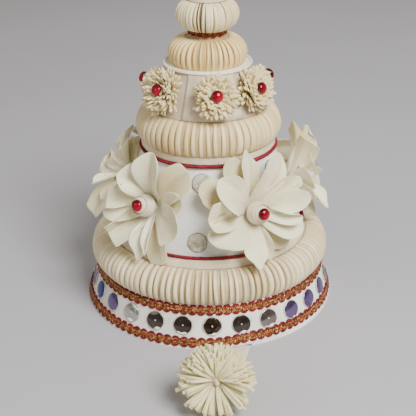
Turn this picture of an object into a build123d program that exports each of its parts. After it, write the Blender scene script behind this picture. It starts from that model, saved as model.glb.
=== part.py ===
"""Groom's wedding headdress: a tall tiered cone of pith with pleated rings, mirrors and flowers.

Millimetres, +Z up. The origin is the middle of the rim, on the surface that it stands on, and
the front, with the loose pompom, faces -Y. Turns round the axis are measured from the front.
"""
import os
from math import asin, atan2, cos, hypot, pi, radians, sin, tan

from build123d import *

os.makedirs("parts", exist_ok=True)

# Clearances between one piece and the next
seat_gap = 0.3
disc_gap = 0.1
slot_gap = 0.3

# Base band: a flared card band covered with white paper
rim_radius = 103.5
band_height = 33.5
band_top_radius = 92.6
band_wall = 1.6

# Braids on the base band
braid_width = 7.0
braid_thickness = 1.4
lower_braid_height = 2.6
upper_braid_drop = 0.8

# Mirrors on the base band
band_mirror_diameter = 13.5
mirror_thickness = 1.0
band_mirror_count = 27
band_mirror_turn = 1.0

# Pleated rings of pith fins
ring_wall = 1.6
ring_1_height = 24.3
ring_1_bulge = 12.0
ring_1_depth = 4.0
ring_1_fins = 112
ring_1_fin_thickness = 2.6
ring_2_height = 25.0
ring_2_bulge = 6.8
ring_2_depth = 3.5
ring_2_fins = 62
ring_2_fin_thickness = 2.8
ring_3_height = 21.6
ring_3_bottom_radius = 27.5
ring_3_top_radius = 17.5
ring_3_bulge = 8.4
ring_3_depth = 3.0
ring_3_fins = 42
ring_3_fin_thickness = 1.9
ring_4_height = 20.4
ring_4_bottom_radius = 17.0
ring_4_top_radius = 16.0
ring_4_bulge = 7.2
ring_4_depth = 3.0
ring_4_fins = 36
ring_4_fin_thickness = 1.8
fin_lean = 5.0
fin_lean_waves = 5
fin_lean_ripple = 0.5

# Main drum: a white cone with a short straight neck, bound with cords and pith strips
drum_bottom_radius = 79.0
drum_neck_radius = 52.6
drum_cone_height = 74.0
drum_neck_height = 8.0
drum_wall = 1.6
strip_thickness = 1.2
strip_height = 6.2
cord_diameter = 3.0
seam_overhang = 1.6

# Mirrors on the main drum, two above each other between the flowers: a row for each, with its
# height on the cone as a share and its turn from the middle of the gap
drum_mirror_diameter = 14.5
drum_mirror_places = ((0.26, -2.0), (0.83, 0.0))

# Small drum and its lid with a rolled edge
small_drum_bottom_radius = 47.5
small_drum_top_radius = 33.6
small_drum_height = 32.0
small_drum_wall = 1.6
lid_radius = 35.4
lid_thickness = 3.6

# Neck between the two upper rings, its braid, the collar and the finial
neck_radius = 14.6
neck_height = 4.0
neck_braid_thickness = 1.4
collar_radius = 16.6
collar_height = 13.0
collar_taper = 1.2
finial_radius = 13.6
finial_height = 37.0
finial_tip_radius = 2.5

# Large flowers round the main drum
flower_turns = (-102.0, -37.0, 26.5, 90.0, 148.0, 205.0)
flower_share = 0.54
petal_reach = 46.0
petal_breadth = 19.0
petal_thickness = 1.0
petal_root_width = 5.0
petal_shoulder = 0.64
petal_tip = 0.97
hub_radius = 6.0
hub_height = 12.6
inner_root = 3.6
outer_root = 2.0
bud_radius = 8.2
bud_tip_radius = 5.2
bud_height = 10.4
bud_round = 2.4
gem_diameter = 8.2
gem_height = 3.6

# Tufted flowers round the small drum
tuft_turns = (-105.0, -54.5, 9.0, 57.0, 105.0, 154.0, 204.0)
tuft_share = 0.52
tuft_radius = 18.5
tuft_core_radius = 4.6
tuft_strip_width = 2.0
tuft_strip_thickness = 0.8
tuft_gem_diameter = 7.4
tuft_gem_height = 3.4
tuft_own_turn = 11.0

# Pompom that lies in front, and the flat strap that ties it on. The strap's route has a row for
# each point: distance from the strap's root, and height
pompom_radius = 27.0
pompom_core_radius = 9.0
pompom_centre = Vector(4.0, -180.0, 27.6)
pompom_axis_rise = 26.0
pompom_strip_width = 2.8
pompom_strip_thickness = 0.9
strap_width = 13.0
strap_thickness = 1.0
strap_root_turn = 14.4
strap_route = ((0.0, 0.7), (27.0, 0.7), (54.5, 6.8))
strap_arc_share = 0.45
slot_depth = 14.0

# Petals of a large flower, seen from outside: turn clockwise from the top in degrees, reach and
# breadth as shares of petal_reach and petal_breadth, lift from the drum in degrees, bow as a share
# of the reach, cup as the breadth's share of the cupping radius, and the layer that it springs from
PETAL_COLUMNS = ("turn", "reach", "breadth", "lift", "bow", "cup", "layer")
WIDE_FLOWER = (
    (-50.0, 1.00, 1.00, 25.0, 0.10, 0.50, "inner"),
    (-88.0, 0.95, 0.98, 19.0, 0.09, 0.45, "outer"),
    (-124.0, 0.94, 1.08, 23.0, 0.10, 0.50, "inner"),
    (-14.0, 1.04, 0.86, 13.0, 0.04, 0.35, "outer"),
    (25.0, 1.06, 0.92, 17.0, 0.05, 0.40, "inner"),
    (53.0, 1.02, 0.58, 20.0, 0.07, 0.60, "outer"),
    (74.0, 0.98, 0.72, 25.0, 0.09, 0.45, "inner"),
    (95.0, 0.88, 0.50, 18.0, 0.04, 0.60, "outer"),
    (118.0, 0.96, 1.00, 24.0, 0.10, 0.50, "inner"),
    (180.0, 1.06, 0.84, 21.0, 0.07, 0.45, "inner"),
)
FULL_FLOWER = (
    (9.0, 0.94, 1.00, 24.0, 0.09, 0.55, "inner"),
    (-33.0, 0.82, 0.90, 21.0, 0.08, 0.45, "outer"),
    (54.0, 0.98, 1.04, 13.0, 0.04, 0.35, "outer"),
    (84.0, 0.72, 0.78, 25.0, 0.10, 0.60, "inner"),
    (132.0, 0.82, 1.10, 23.0, 0.10, 0.60, "inner"),
    (163.0, 1.00, 0.90, 15.0, 0.05, 0.40, "outer"),
    (192.0, 1.00, 0.74, 22.0, 0.08, 0.45, "inner"),
    (228.0, 0.96, 1.04, 19.0, 0.08, 0.45, "outer"),
    (257.0, 0.96, 0.74, 25.0, 0.08, 0.50, "inner"),
    (283.0, 0.86, 0.76, 21.0, 0.08, 0.45, "outer"),
)
# Which table each flower follows, and how far it is turned on its own axis
FLOWER_KINDS = (
    ("wide", 108.0),
    ("full", 0.0),
    ("wide", 0.0),
    ("full", 35.0),
    ("wide", 90.0),
    ("full", 200.0),
)
# Rows of strips on a tuft and on the pompom: angle from its axis in degrees, strips in the row,
# and length as a share of the radius
TUFT_ROWS = ((48.0, 10, 0.88), (62.0, 14, 0.96), (76.0, 18, 1.00), (89.0, 20, 0.97))
POMPOM_ROWS = (
    (10.0, 6, 0.64),
    (28.0, 12, 0.80),
    (46.0, 18, 0.92),
    (64.0, 22, 1.00),
    (82.0, 24, 1.00),
    (100.0, 24, 0.99),
    (116.0, 20, 0.96),
)


def finish(piece, label):
    """Name a finished piece and write it to its file."""
    piece.part.label = label
    export_step(piece.part, f"parts/{label}.step")


def ring_of(points, label):
    """A plain ring, revolved from a closed profile of (radius, height) points."""
    with BuildPart() as ring:
        with BuildSketch(Plane.XZ):
            with BuildLine():
                Polyline(*points, close=True)
            make_face()
        revolve(axis=Axis.Z)
    finish(ring, label)
    return ring


def lean_of(index, count):
    """Lean of one fin: neighbours lean alike, and the lean wanders slowly round the ring."""
    way = 2 * pi * index / count
    ripple = fin_lean_ripple * sin((2 * fin_lean_waves + 1) * way)
    return fin_lean * (sin(fin_lean_waves * way) + ripple) / (1 + fin_lean_ripple)


def pleated_ring(
    label, base, height, bottom_radius, top_radius, bulge, depth, fins, fin_thickness, hollow, neck=0.0
):
    """Upright pith fins round a cone; their outer edges are one round arc, seam to seam."""
    top = base + height
    middle_radius = (bottom_radius + top_radius) / 2
    middle = base + height / 2
    slant = hypot(height, bottom_radius - top_radius)
    out = height / slant
    up = (bottom_radius - top_radius) / slant
    with BuildPart() as fin:
        with BuildSketch(Plane.XZ):
            with BuildLine():
                crest = (middle_radius + bulge * out, middle + bulge * up)
                ThreePointArc((bottom_radius, base), crest, (top_radius, top))
                root = ring_wall / 2
                Polyline(
                    (top_radius, top),
                    (top_radius - depth - root, top),
                    (bottom_radius - depth - root, base),
                    (bottom_radius, base),
                )
            make_face()
        extrude(amount=fin_thickness / 2, both=True)
    with BuildPart() as ring:
        with BuildSketch(Plane.XZ):
            with BuildLine():
                inner_bottom = bottom_radius - depth - ring_wall if hollow else 0
                inner_top = top_radius - depth - ring_wall if hollow else 0
                Polyline(
                    (inner_bottom, base),
                    (bottom_radius - depth, base),
                    (top_radius - depth, top),
                    (inner_top, top),
                    close=True,
                )
            make_face()
        revolve(axis=Axis.Z)
        if neck:
            with Locations((0, 0, top)):
                Cylinder(neck_radius, neck, align=(Align.CENTER, Align.CENTER, Align.MIN))
        places = []
        for index in range(fins):
            turn = Rot(Z=360 * index / fins)
            tilt = Pos(0, 0, middle) * Rot(X=lean_of(index, fins)) * Pos(0, 0, -middle)
            places.append(turn * tilt)
        with Locations(*places):
            add(fin.part)
    finish(ring, label)
    return top


def facing(turn, radius, height, slope):
    """Plane that touches a cone from outside: X to the viewer's right, Y up the cone, Z outwards."""
    round_x = sin(radians(turn))
    round_y = -cos(radians(turn))
    outward = Vector(round_x * cos(slope), round_y * cos(slope), sin(slope))
    right = Vector(cos(radians(turn)), sin(radians(turn)), 0)
    return Plane(origin=(radius * round_x, radius * round_y, height), x_dir=right, z_dir=outward)


def discs(label, seats, diameter):
    """Loose round mirrors, one on each seat plane, all in one node."""
    with BuildPart() as mirrors:
        for seat in seats:
            with BuildSketch(seat.offset(disc_gap)):
                Circle(diameter / 2)
            extrude(amount=mirror_thickness)
    finish(mirrors, label)


def cabochon(diameter, height):
    """A domed glass gem, standing on the XY plane: a low round wall under a part of a sphere."""
    wall = height / 3
    dome = height - wall
    dome_radius = ((diameter / 2) ** 2 + dome**2) / (2 * dome)
    middle_turn = asin(diameter / 2 / dome_radius) / 2
    middle = (dome_radius * sin(middle_turn), height - dome_radius * (1 - cos(middle_turn)))
    with BuildPart() as gem:
        with BuildSketch(Plane.XZ):
            with BuildLine():
                Polyline((0, height), (0, 0), (diameter / 2, 0), (diameter / 2, wall))
                ThreePointArc((diameter / 2, wall), middle, (0, height))
            make_face()
        revolve(axis=Axis.Z)
    return gem.part


def place(label, seat, shape, own_turn=0.0):
    """A copy of a ready shape, set on its seat plane and turned round the seat's Z."""
    with BuildPart(seat) as piece:
        with Locations(Rot(Z=own_turn)):
            add(shape)
    finish(piece, label)


# Base band, resting on its rim, with a slot under the edge for the strap
band_slope = (rim_radius - band_top_radius) / band_height
band_lean = atan2(rim_radius - band_top_radius, band_height)
band_thickness_across = band_wall / cos(band_lean)


def band_radius(height):
    """Outer radius of the base band at a height."""
    return rim_radius - band_slope * height


strap_root = Vector(
    (rim_radius - band_thickness_across) * sin(radians(strap_root_turn)),
    -(rim_radius - band_thickness_across) * cos(radians(strap_root_turn)),
    0,
)
strap_way = Vector(pompom_centre.X - strap_root.X, pompom_centre.Y - strap_root.Y, 0).normalized()
strap_plane = Plane(origin=strap_root, x_dir=strap_way, z_dir=strap_way.cross(Vector(0, 0, 1)))
slot_height = strap_route[0][1] + strap_thickness / 2 + slot_gap

with BuildPart() as base_band:
    with BuildSketch(Plane.XZ):
        with BuildLine():
            Polyline(
                (rim_radius - band_thickness_across, 0),
                (rim_radius, 0),
                (band_top_radius, band_height),
                (band_top_radius - band_thickness_across, band_height),
                close=True,
            )
        make_face()
    revolve(axis=Axis.Z)
    with BuildSketch(strap_plane):
        with Locations((0, slot_height / 2)):
            Rectangle(slot_depth, slot_height)
    extrude(amount=strap_width / 2 + slot_gap, both=True, mode=Mode.SUBTRACT)
finish(base_band, "base_band")


def band_braid(label, low, high):
    """A flat braid wrapped round the base band between two heights."""
    across = seat_gap / cos(band_lean)
    thick = braid_thickness / cos(band_lean)
    ring_of(
        (
            (band_radius(low) + across, low),
            (band_radius(low) + across + thick, low),
            (band_radius(high) + across + thick, high),
            (band_radius(high) + across, high),
        ),
        label,
    )


upper_braid_height = band_height - upper_braid_drop - braid_width
band_braid("lower_braid", lower_braid_height, lower_braid_height + braid_width)
band_braid("upper_braid", upper_braid_height, upper_braid_height + braid_width)

mirror_row = (lower_braid_height + braid_width + upper_braid_height) / 2
band_seats = []
for index in range(band_mirror_count):
    turn = band_mirror_turn + 360 * index / band_mirror_count
    band_seats.append(facing(turn, band_radius(mirror_row), mirror_row, band_lean))
discs("band_mirrors", band_seats, band_mirror_diameter)

# First pleated ring, on the band's upper edge
ring_1_base = band_height + seat_gap
ring_1_top = pleated_ring(
    "pleated_ring_1", ring_1_base, ring_1_height, band_top_radius - seat_gap,
    drum_bottom_radius + seam_overhang, ring_1_bulge, ring_1_depth, ring_1_fins,
    ring_1_fin_thickness, hollow=True,
)

# Main drum, and the strips and cords that bind its two ends
drum_base = ring_1_top + seat_gap
drum_shoulder = drum_base + drum_cone_height
drum_top = drum_shoulder + drum_neck_height
drum_slope = (drum_bottom_radius - drum_neck_radius) / drum_cone_height
drum_lean = atan2(drum_bottom_radius - drum_neck_radius, drum_cone_height)
drum_across = drum_wall / cos(drum_lean)


def drum_radius(height):
    """Outer radius of the main drum's cone at a height."""
    return drum_bottom_radius - drum_slope * (height - drum_base)


ring_of(
    (
        (drum_bottom_radius - drum_across, drum_base),
        (drum_bottom_radius, drum_base),
        (drum_neck_radius, drum_shoulder),
        (drum_neck_radius, drum_top),
        (drum_neck_radius - drum_across, drum_top),
        (drum_neck_radius - drum_across, drum_shoulder),
    ),
    "drum",
)

seat_across = seat_gap / cos(drum_lean)
strip_across = strip_thickness / cos(drum_lean)
lower_strip_top = drum_base + strip_height
ring_of(
    (
        (drum_radius(drum_base) + seat_across, drum_base),
        (drum_radius(drum_base) + seat_across + strip_across, drum_base),
        (drum_radius(lower_strip_top) + seat_across + strip_across, lower_strip_top),
        (drum_radius(lower_strip_top) + seat_across, lower_strip_top),
    ),
    "lower_strip",
)
upper_strip_base = drum_top - strip_height
ring_of(
    (
        (drum_neck_radius + seat_gap, upper_strip_base),
        (drum_neck_radius + seat_gap + strip_thickness, upper_strip_base),
        (drum_neck_radius + seat_gap + strip_thickness, drum_top),
        (drum_neck_radius + seat_gap, drum_top),
    ),
    "upper_strip",
)


def binding_cord(label, radius, height):
    """A round cord tied round the drum."""
    with BuildPart() as cord:
        with BuildSketch(Plane.XZ):
            with Locations((radius, height)):
                Circle(cord_diameter / 2)
        revolve(axis=Axis.Z)
    finish(cord, label)


cord_out = cord_diameter / 2 + seat_gap
lower_cord_height = lower_strip_top + cord_out
lower_cord_radius = drum_radius(lower_cord_height) + cord_out / cos(drum_lean)
binding_cord("lower_cord", lower_cord_radius, lower_cord_height)
upper_cord_height = upper_strip_base - cord_out
upper_cord_radius = max(drum_radius(upper_cord_height), drum_neck_radius) + cord_out / cos(drum_lean)
binding_cord("upper_cord", upper_cord_radius, upper_cord_height)

drum_seats = []
for index, turn in enumerate(flower_turns):
    next_turn = flower_turns[(index + 1) % len(flower_turns)]
    middle_turn = turn + ((next_turn - turn) % 360) / 2
    for share, aside in drum_mirror_places:
        height = drum_base + share * drum_cone_height
        drum_seats.append(facing(middle_turn + aside, drum_radius(height), height, drum_lean))
discs("drum_mirrors", drum_seats, drum_mirror_diameter)

# Second pleated ring, small drum and lid
ring_2_top = pleated_ring(
    "pleated_ring_2", drum_top + seat_gap, ring_2_height, drum_neck_radius + seam_overhang,
    small_drum_bottom_radius + seat_gap, ring_2_bulge, ring_2_depth, ring_2_fins,
    ring_2_fin_thickness, hollow=True,
)
small_drum_base = ring_2_top + seat_gap
small_drum_top = small_drum_base + small_drum_height
small_drum_lean = atan2(small_drum_bottom_radius - small_drum_top_radius, small_drum_height)
small_drum_across = small_drum_wall / cos(small_drum_lean)
ring_of(
    (
        (small_drum_bottom_radius - small_drum_across, small_drum_base),
        (small_drum_bottom_radius, small_drum_base),
        (small_drum_top_radius, small_drum_top),
        (small_drum_top_radius - small_drum_across, small_drum_top),
    ),
    "small_drum",
)
lid_base = small_drum_top + seat_gap
lid_top = lid_base + lid_thickness
with BuildPart() as lid:
    with BuildSketch(Plane.XZ):
        with BuildLine():
            Line((0, lid_base), (lid_radius - lid_thickness / 2, lid_base))
            ThreePointArc(
                (lid_radius - lid_thickness / 2, lid_base),
                (lid_radius, (lid_base + lid_top) / 2),
                (lid_radius - lid_thickness / 2, lid_top),
            )
            Polyline((lid_radius - lid_thickness / 2, lid_top), (0, lid_top), (0, lid_base))
        make_face()
    revolve(axis=Axis.Z)
finish(lid, "small_drum_lid")

# Third and fourth pleated rings, on solid pith, with a braid round the neck between them
ring_3_top = pleated_ring(
    "pleated_ring_3", lid_top + seat_gap, ring_3_height, ring_3_bottom_radius,
    ring_3_top_radius, ring_3_bulge, ring_3_depth, ring_3_fins, ring_3_fin_thickness,
    hollow=False, neck=neck_height,
)
ring_of(
    (
        (neck_radius + seat_gap, ring_3_top + seat_gap),
        (neck_radius + seat_gap + neck_braid_thickness, ring_3_top + seat_gap),
        (neck_radius + seat_gap + neck_braid_thickness, ring_3_top + neck_height),
        (neck_radius + seat_gap, ring_3_top + neck_height),
    ),
    "neck_braid",
)
ring_4_top = pleated_ring(
    "pleated_ring_4", ring_3_top + neck_height + seat_gap, ring_4_height, ring_4_bottom_radius,
    ring_4_top_radius, ring_4_bulge, ring_4_depth, ring_4_fins, ring_4_fin_thickness,
    hollow=False,
)
collar_base = ring_4_top + seat_gap
collar_top = collar_base + collar_height
ring_of(
    (
        (0, collar_base),
        (collar_radius, collar_base),
        (collar_radius - collar_taper, collar_top),
        (0, collar_top),
    ),
    "collar",
)
with BuildPart() as finial:
    finial_base = collar_top + seat_gap
    with BuildSketch(Plane.XZ):
        with BuildLine():
            Polyline((0, finial_base + finial_height), (0, finial_base), (finial_radius, finial_base))
            shoulder = (finial_tip_radius, finial_base + finial_height - finial_tip_radius)
            Line((finial_radius, finial_base), shoulder)
            RadiusArc(shoulder, (0, finial_base + finial_height), -finial_tip_radius)
        make_face()
    revolve(axis=Axis.Z)
finish(finial, "finial")


def petal(reach, breadth, bow, cup_radius):
    """A thin spatulate petal along +X from its root, bowed along its length and cupped upwards."""
    high = 2 * cup_radius
    with BuildPart() as leaf:
        with BuildSketch(Plane.XZ):
            with BuildLine():
                outer = ThreePointArc((0, high), (reach / 2, high - bow), (reach, high))
                low = high - petal_thickness
                inner = ThreePointArc((0, low), (reach / 2, low - bow), (reach, low))
                Line(outer @ 0, inner @ 0)
                Line(outer @ 1, inner @ 1)
            make_face()
        revolve(axis=Axis((0, 0, cup_radius), (1, 0, 0)))
        cut_bottom = -cup_radius / 2
        cut_top = cup_radius - petal_thickness
        with BuildSketch(Plane.XY.offset(cut_bottom)):
            with BuildLine():
                shoulder = petal_shoulder * reach
                Polyline(
                    (shoulder, breadth / 2),
                    (0, petal_root_width / 2),
                    (0, -petal_root_width / 2),
                    (shoulder, -breadth / 2),
                )
                ThreePointArc((shoulder, -breadth / 2), (reach * petal_tip, 0), (shoulder, breadth / 2))
            make_face()
        extrude(amount=cut_top - cut_bottom, mode=Mode.INTERSECT)
    return leaf.part


def bloom(kind):
    """The petals of one large flower on their hub, standing on the XY plane, its top along Y."""
    leaves = []
    for row in kind:
        leaf = dict(zip(PETAL_COLUMNS, row))
        reach = petal_reach * leaf["reach"]
        breadth = petal_breadth * leaf["breadth"]
        root = inner_root if leaf["layer"] == "inner" else outer_root
        spot = Pos(0, 0, root) * Rot(Z=90 - leaf["turn"]) * Rot(Y=-leaf["lift"])
        leaves.append((spot, petal(reach, breadth, leaf["bow"] * reach, breadth / leaf["cup"] / 2)))
    with BuildPart() as petals:
        Cylinder(hub_radius, hub_height, align=(Align.CENTER, Align.CENTER, Align.MIN))
        for spot, leaf in leaves:
            with Locations(spot):
                add(leaf)
    return petals.part


with BuildPart() as bud:
    Cone(bud_radius, bud_tip_radius, bud_height, align=(Align.CENTER, Align.CENTER, Align.MIN))
    fillet(bud.edges().sort_by(Axis.Z)[-1], bud_round)

# Large flowers: petals on a hub, a rounded bud and a red gem on its tip
wide_bloom = bloom(WIDE_FLOWER)
full_bloom = bloom(FULL_FLOWER)
flower_gem = cabochon(gem_diameter, gem_height)
flower_height = drum_base + flower_share * drum_cone_height
for number, (turn, (kind, own_turn)) in enumerate(zip(flower_turns, FLOWER_KINDS), start=1):
    seat = facing(turn, drum_radius(flower_height), flower_height, drum_lean).offset(seat_gap)
    bud_seat = seat.offset(hub_height + seat_gap)
    place(f"petals_{number}", seat, wide_bloom if kind == "wide" else full_bloom, -own_turn)
    place(f"bud_{number}", bud_seat, bud.part)
    place(f"gem_{number}", bud_seat.offset(bud_height + seat_gap), flower_gem)


def strip_ball(radius, core_radius, width, thickness, rows):
    """Flat pith strips that stand out all round a small core, in rows about the Z axis."""
    with BuildPart() as ball:
        Sphere(core_radius)
        for row, (angle, count, share) in enumerate(rows):
            spots = []
            for index in range(count):
                turn = Rot(Z=360 * (index + row / 2) / count)
                spots.append(turn * Rot(Y=angle) * Pos(0, 0, core_radius / 2))
            length = radius * share - core_radius / 2
            with Locations(*spots):
                Box(thickness, width, length, align=(Align.CENTER, Align.CENTER, Align.MIN))
    return ball.part


# Tufted flowers, each with a gem at its middle
tuft_height = small_drum_base + tuft_share * small_drum_height
tuft_slope = (small_drum_bottom_radius - small_drum_top_radius) / small_drum_height
tuft_carrier = small_drum_bottom_radius - tuft_slope * (tuft_height - small_drum_base)
tuft = strip_ball(
    tuft_radius, tuft_core_radius, tuft_strip_width, tuft_strip_thickness, TUFT_ROWS
)
tuft_gem = cabochon(tuft_gem_diameter, tuft_gem_height)
for number, turn in enumerate(tuft_turns, start=1):
    core_out = seat_gap + tuft_core_radius
    seat = facing(turn, tuft_carrier, tuft_height, small_drum_lean).offset(core_out)
    place(f"tuft_{number}", seat, tuft, tuft_own_turn * number)
    place(f"tuft_gem_{number}", seat.offset(tuft_core_radius + seat_gap), tuft_gem)

# Pompom in front, turned up towards the viewer
pompom_axis = Vector(0, -cos(radians(pompom_axis_rise)), sin(radians(pompom_axis_rise)))
pompom_plane = Plane(origin=pompom_centre, x_dir=(1, 0, 0), z_dir=pompom_axis)
pompom = strip_ball(
    pompom_radius, pompom_core_radius, pompom_strip_width, pompom_strip_thickness, POMPOM_ROWS
)
place("pompom", pompom_plane, pompom)

# Flat strap from under the rim to the back of the pompom
last_along, last_high = strap_route[-1]
reach_along = hypot(pompom_centre.X - strap_root.X, pompom_centre.Y - strap_root.Y)
last_run = hypot(reach_along - last_along, pompom_centre.Z - last_high)
end_share = 1 - (pompom_core_radius + seat_gap) / last_run
strap_points = list(strap_route)
end_along = last_along + end_share * (reach_along - last_along)
end_high = last_high + end_share * (pompom_centre.Z - last_high)
strap_points.append((end_along, end_high))
runs = [Vector(b[0] - a[0], b[1] - a[1]) for a, b in zip(strap_points, strap_points[1:])]
radii = []
for before, after in zip(runs, runs[1:]):
    half_turn = radians(before.get_angle(after)) / 2
    radii.append(strap_arc_share * min(before.length, after.length) / tan(half_turn))
print("strap runs", [round(run.length, 1) for run in runs])
print("strap radii", [round(radius, 1) for radius in radii])
with BuildPart() as strap:
    with BuildLine(strap_plane) as strap_line:
        FilletPolyline(*strap_points, radius=radii)
    with BuildSketch(Plane(origin=strap_line.line @ 0, z_dir=strap_line.line % 0, x_dir=(0, 0, 1))):
        Rectangle(strap_thickness, strap_width)
    sweep(path=strap_line.line)
strap_length = sum(edge.length for edge in strap_line.line.edges())
section_volume = strap_width * strap_thickness * strap_length
print("strap length", round(strap_length, 1))
print("strap volume over section", round(strap.part.volume / section_volume, 4))
finish(strap, "pompom_strap")
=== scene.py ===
"""Groom's tall pith headdress with its loose pompom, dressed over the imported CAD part."""
import math
import random

import bmesh
import bpy
from bpy.props import FloatProperty, FloatVectorProperty, IntProperty, PointerProperty
from mathutils import Matrix, Vector


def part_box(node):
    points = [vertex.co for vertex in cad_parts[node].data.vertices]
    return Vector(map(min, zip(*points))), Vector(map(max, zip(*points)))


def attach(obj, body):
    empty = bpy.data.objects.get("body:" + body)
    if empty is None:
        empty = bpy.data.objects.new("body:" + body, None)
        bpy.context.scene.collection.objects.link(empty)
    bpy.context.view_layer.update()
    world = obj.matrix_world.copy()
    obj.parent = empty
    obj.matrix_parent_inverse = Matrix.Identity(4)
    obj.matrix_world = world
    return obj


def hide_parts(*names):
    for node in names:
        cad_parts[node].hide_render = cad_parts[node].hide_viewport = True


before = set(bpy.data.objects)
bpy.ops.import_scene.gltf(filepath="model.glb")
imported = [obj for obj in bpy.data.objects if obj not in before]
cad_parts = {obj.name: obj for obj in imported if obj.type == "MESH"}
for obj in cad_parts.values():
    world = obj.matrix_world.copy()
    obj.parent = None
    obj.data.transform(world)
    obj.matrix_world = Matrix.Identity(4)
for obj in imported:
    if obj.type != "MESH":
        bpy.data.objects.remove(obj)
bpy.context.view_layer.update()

bl_info = {
    "name": "Pith Headdress",
    "version": (1, 0, 0),
    "blender": (4, 5, 0),
    "location": "View3D > Sidebar > Headdress",
    "description": "Builds the detailed pieces and finishes of a groom's pith headdress",
    "category": "Add Mesh",
}

MM = 0.001

# Cone of the base band: radius at the rim, radius at its top edge, height
RIM_RADIUS = 103.5 * MM
BAND_TOP_RADIUS = 92.6 * MM
BAND_HEIGHT = 33.5 * MM
BAND_LEAN = math.atan2(RIM_RADIUS - BAND_TOP_RADIUS, BAND_HEIGHT)
SEAT_GAP = 0.3 * MM

# Cone of the main drum
DRUM_BASE = 58.4 * MM
DRUM_BOTTOM_RADIUS = 79.0 * MM
DRUM_NECK_RADIUS = 52.6 * MM
DRUM_CONE_HEIGHT = 74.0 * MM
DRUM_LEAN = math.atan2(DRUM_BOTTOM_RADIUS - DRUM_NECK_RADIUS, DRUM_CONE_HEIGHT)

# Cone of the small drum
SMALL_DRUM_BASE = 166.0 * MM
SMALL_DRUM_BOTTOM_RADIUS = 47.5 * MM
SMALL_DRUM_TOP_RADIUS = 33.6 * MM
SMALL_DRUM_HEIGHT = 32.0 * MM
SMALL_DRUM_LEAN = math.atan2(SMALL_DRUM_BOTTOM_RADIUS - SMALL_DRUM_TOP_RADIUS, SMALL_DRUM_HEIGHT)
# Sheet that laps the small drum's front: turns of its two seams from the front, and its thickness
PANEL_TURNS = (-25.0, 34.0)
PANEL_THICKNESS = 0.5 * MM
# Lid of the small drum: its foot, radius, thickness and rolled edge
LID_BASE = 198.0 * MM
LID_RADIUS = 34.0 * MM
LID_THICKNESS = 1.4 * MM
LID_ROLL = 1.15 * MM

# Pleated rings: node, base, top, bottom radius, top radius, bulge, number of fins, a fin's share of
# its pitch where the fins are packed and where they are loose, and the loose part's turn and spread
PLEATED_RINGS = (
    ("pleated_ring_1", 32.8, 58.1, 92.6, 80.6, 12.0, 112, 0.95, 0.48, 4.0, 34.0),
    ("pleated_ring_2", 139.5, 165.7, 54.5, 47.8, 6.8, 60, 0.97, 0.44, -2.0, 27.0),
    ("pleated_ring_3", 199.5, 219.6, 28.2, 16.4, 8.1, 38, 0.96, 0.40, -6.0, 28.0),
    ("pleated_ring_4", 226.0, 248.5, 17.0, 16.0, 8.2, 46, 0.98, 0.26, -16.0, 8.5),
)
# A fin: steps up its length, and the levels of its section from its root to its crest
FIN_STEPS = 14
FIN_LEVELS = (0.0, 0.60, 0.90, 1.0)
# Floor behind the fins: steps up and round it, and how far inside the top seam its neck stands
FLOOR_STEPS = 13
FLOOR_SIDES = 96
NECK_INSET = 4.0 * MM

# Large flowers round the drum: turn from the front, kind, own turn, and how far the bud sits off the
# middle in millimetres
FLOWERS = (
    (-102.0, "left", 0.0, (0.0, -4.5)),
    (-37.0, "full", 0.0, (-2.4, 0.8)),
    (26.5, "wide", 0.0, (1.9, -2.8)),
    (90.0, "right", 0.0, (0.0, 0.0)),
    (148.0, "wide", 90.0, (0.0, 0.0)),
    (205.0, "full", 200.0, (0.0, 0.0)),
)
FLOWER_SHARE = 0.54
FLOWER_HEIGHT = DRUM_BASE + FLOWER_SHARE * DRUM_CONE_HEIGHT
PETAL_REACH = 46.0 * MM
PETAL_BREADTH = 19.0 * MM
# Where a petal is widest, and its kinds of tip: width left at the tip, and how far its corners
# fall back
PETAL_WIDEST = 0.70
PETAL_TIPS = {
    "round": (0.70, 0.11), "square": (0.90, 0.03), "point": (0.42, 0.14), "narrow": (0.60, 0.05),
}
# Petals, seen from outside: turn clockwise from the top, reach, breadth, lift, twist, cup, root height,
# tip, fold and where the fold lies, from -1 at the clockwise edge to 1
WIDE_FLOWER = (
    (2.0, 1.04, 0.82, 10.0, 0.0, 0.40, 2.4, "point", "valley", -0.35),
    (-14.0, 0.97, 1.10, 8.0, 0.0, 0.35, 1.2, "round", "plain", 0.0),
    (37.0, 1.08, 1.22, 16.0, 0.0, 0.45, 3.0, "round", "valley", -0.45),
    (69.0, 1.03, 1.00, 20.0, 0.0, 0.55, 2.6, "round", "rolled", -1.0),
    (85.0, 1.05, 0.98, 25.0, 0.0, 0.40, 3.8, "round", "spoon", 0.0),
    (113.0, 0.91, 0.72, 27.0, 0.0, 0.60, 4.2, "narrow", "rolled", 1.0),
    (123.0, 1.00, 1.24, 20.0, 0.0, 0.50, 3.0, "round", "plain", 0.0),
    (143.0, 0.97, 1.15, 5.0, 0.0, 0.35, 1.2, "round", "plain", 0.0),
    (166.0, 0.93, 0.50, 9.0, 0.0, 0.60, 2.4, "narrow", "valley", 0.0),
    (188.0, 1.05, 1.05, 18.0, 0.0, 0.35, 3.8, "point", "ridge", 0.0),
    (-116.0, 0.96, 1.55, 10.0, 0.0, 0.45, 2.8, "round", "valley", -0.40),
    (-86.0, 0.94, 1.25, 16.0, 0.0, 0.35, 3.2, "square", "valley", 0.20),
    (-51.0, 0.92, 1.50, 20.0, 0.0, 0.40, 3.8, "round", "valley", -0.50),
    (-59.0, 1.00, 1.25, 0.0, 0.0, 0.30, 1.2, "round", "plain", 0.0),
)
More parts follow.
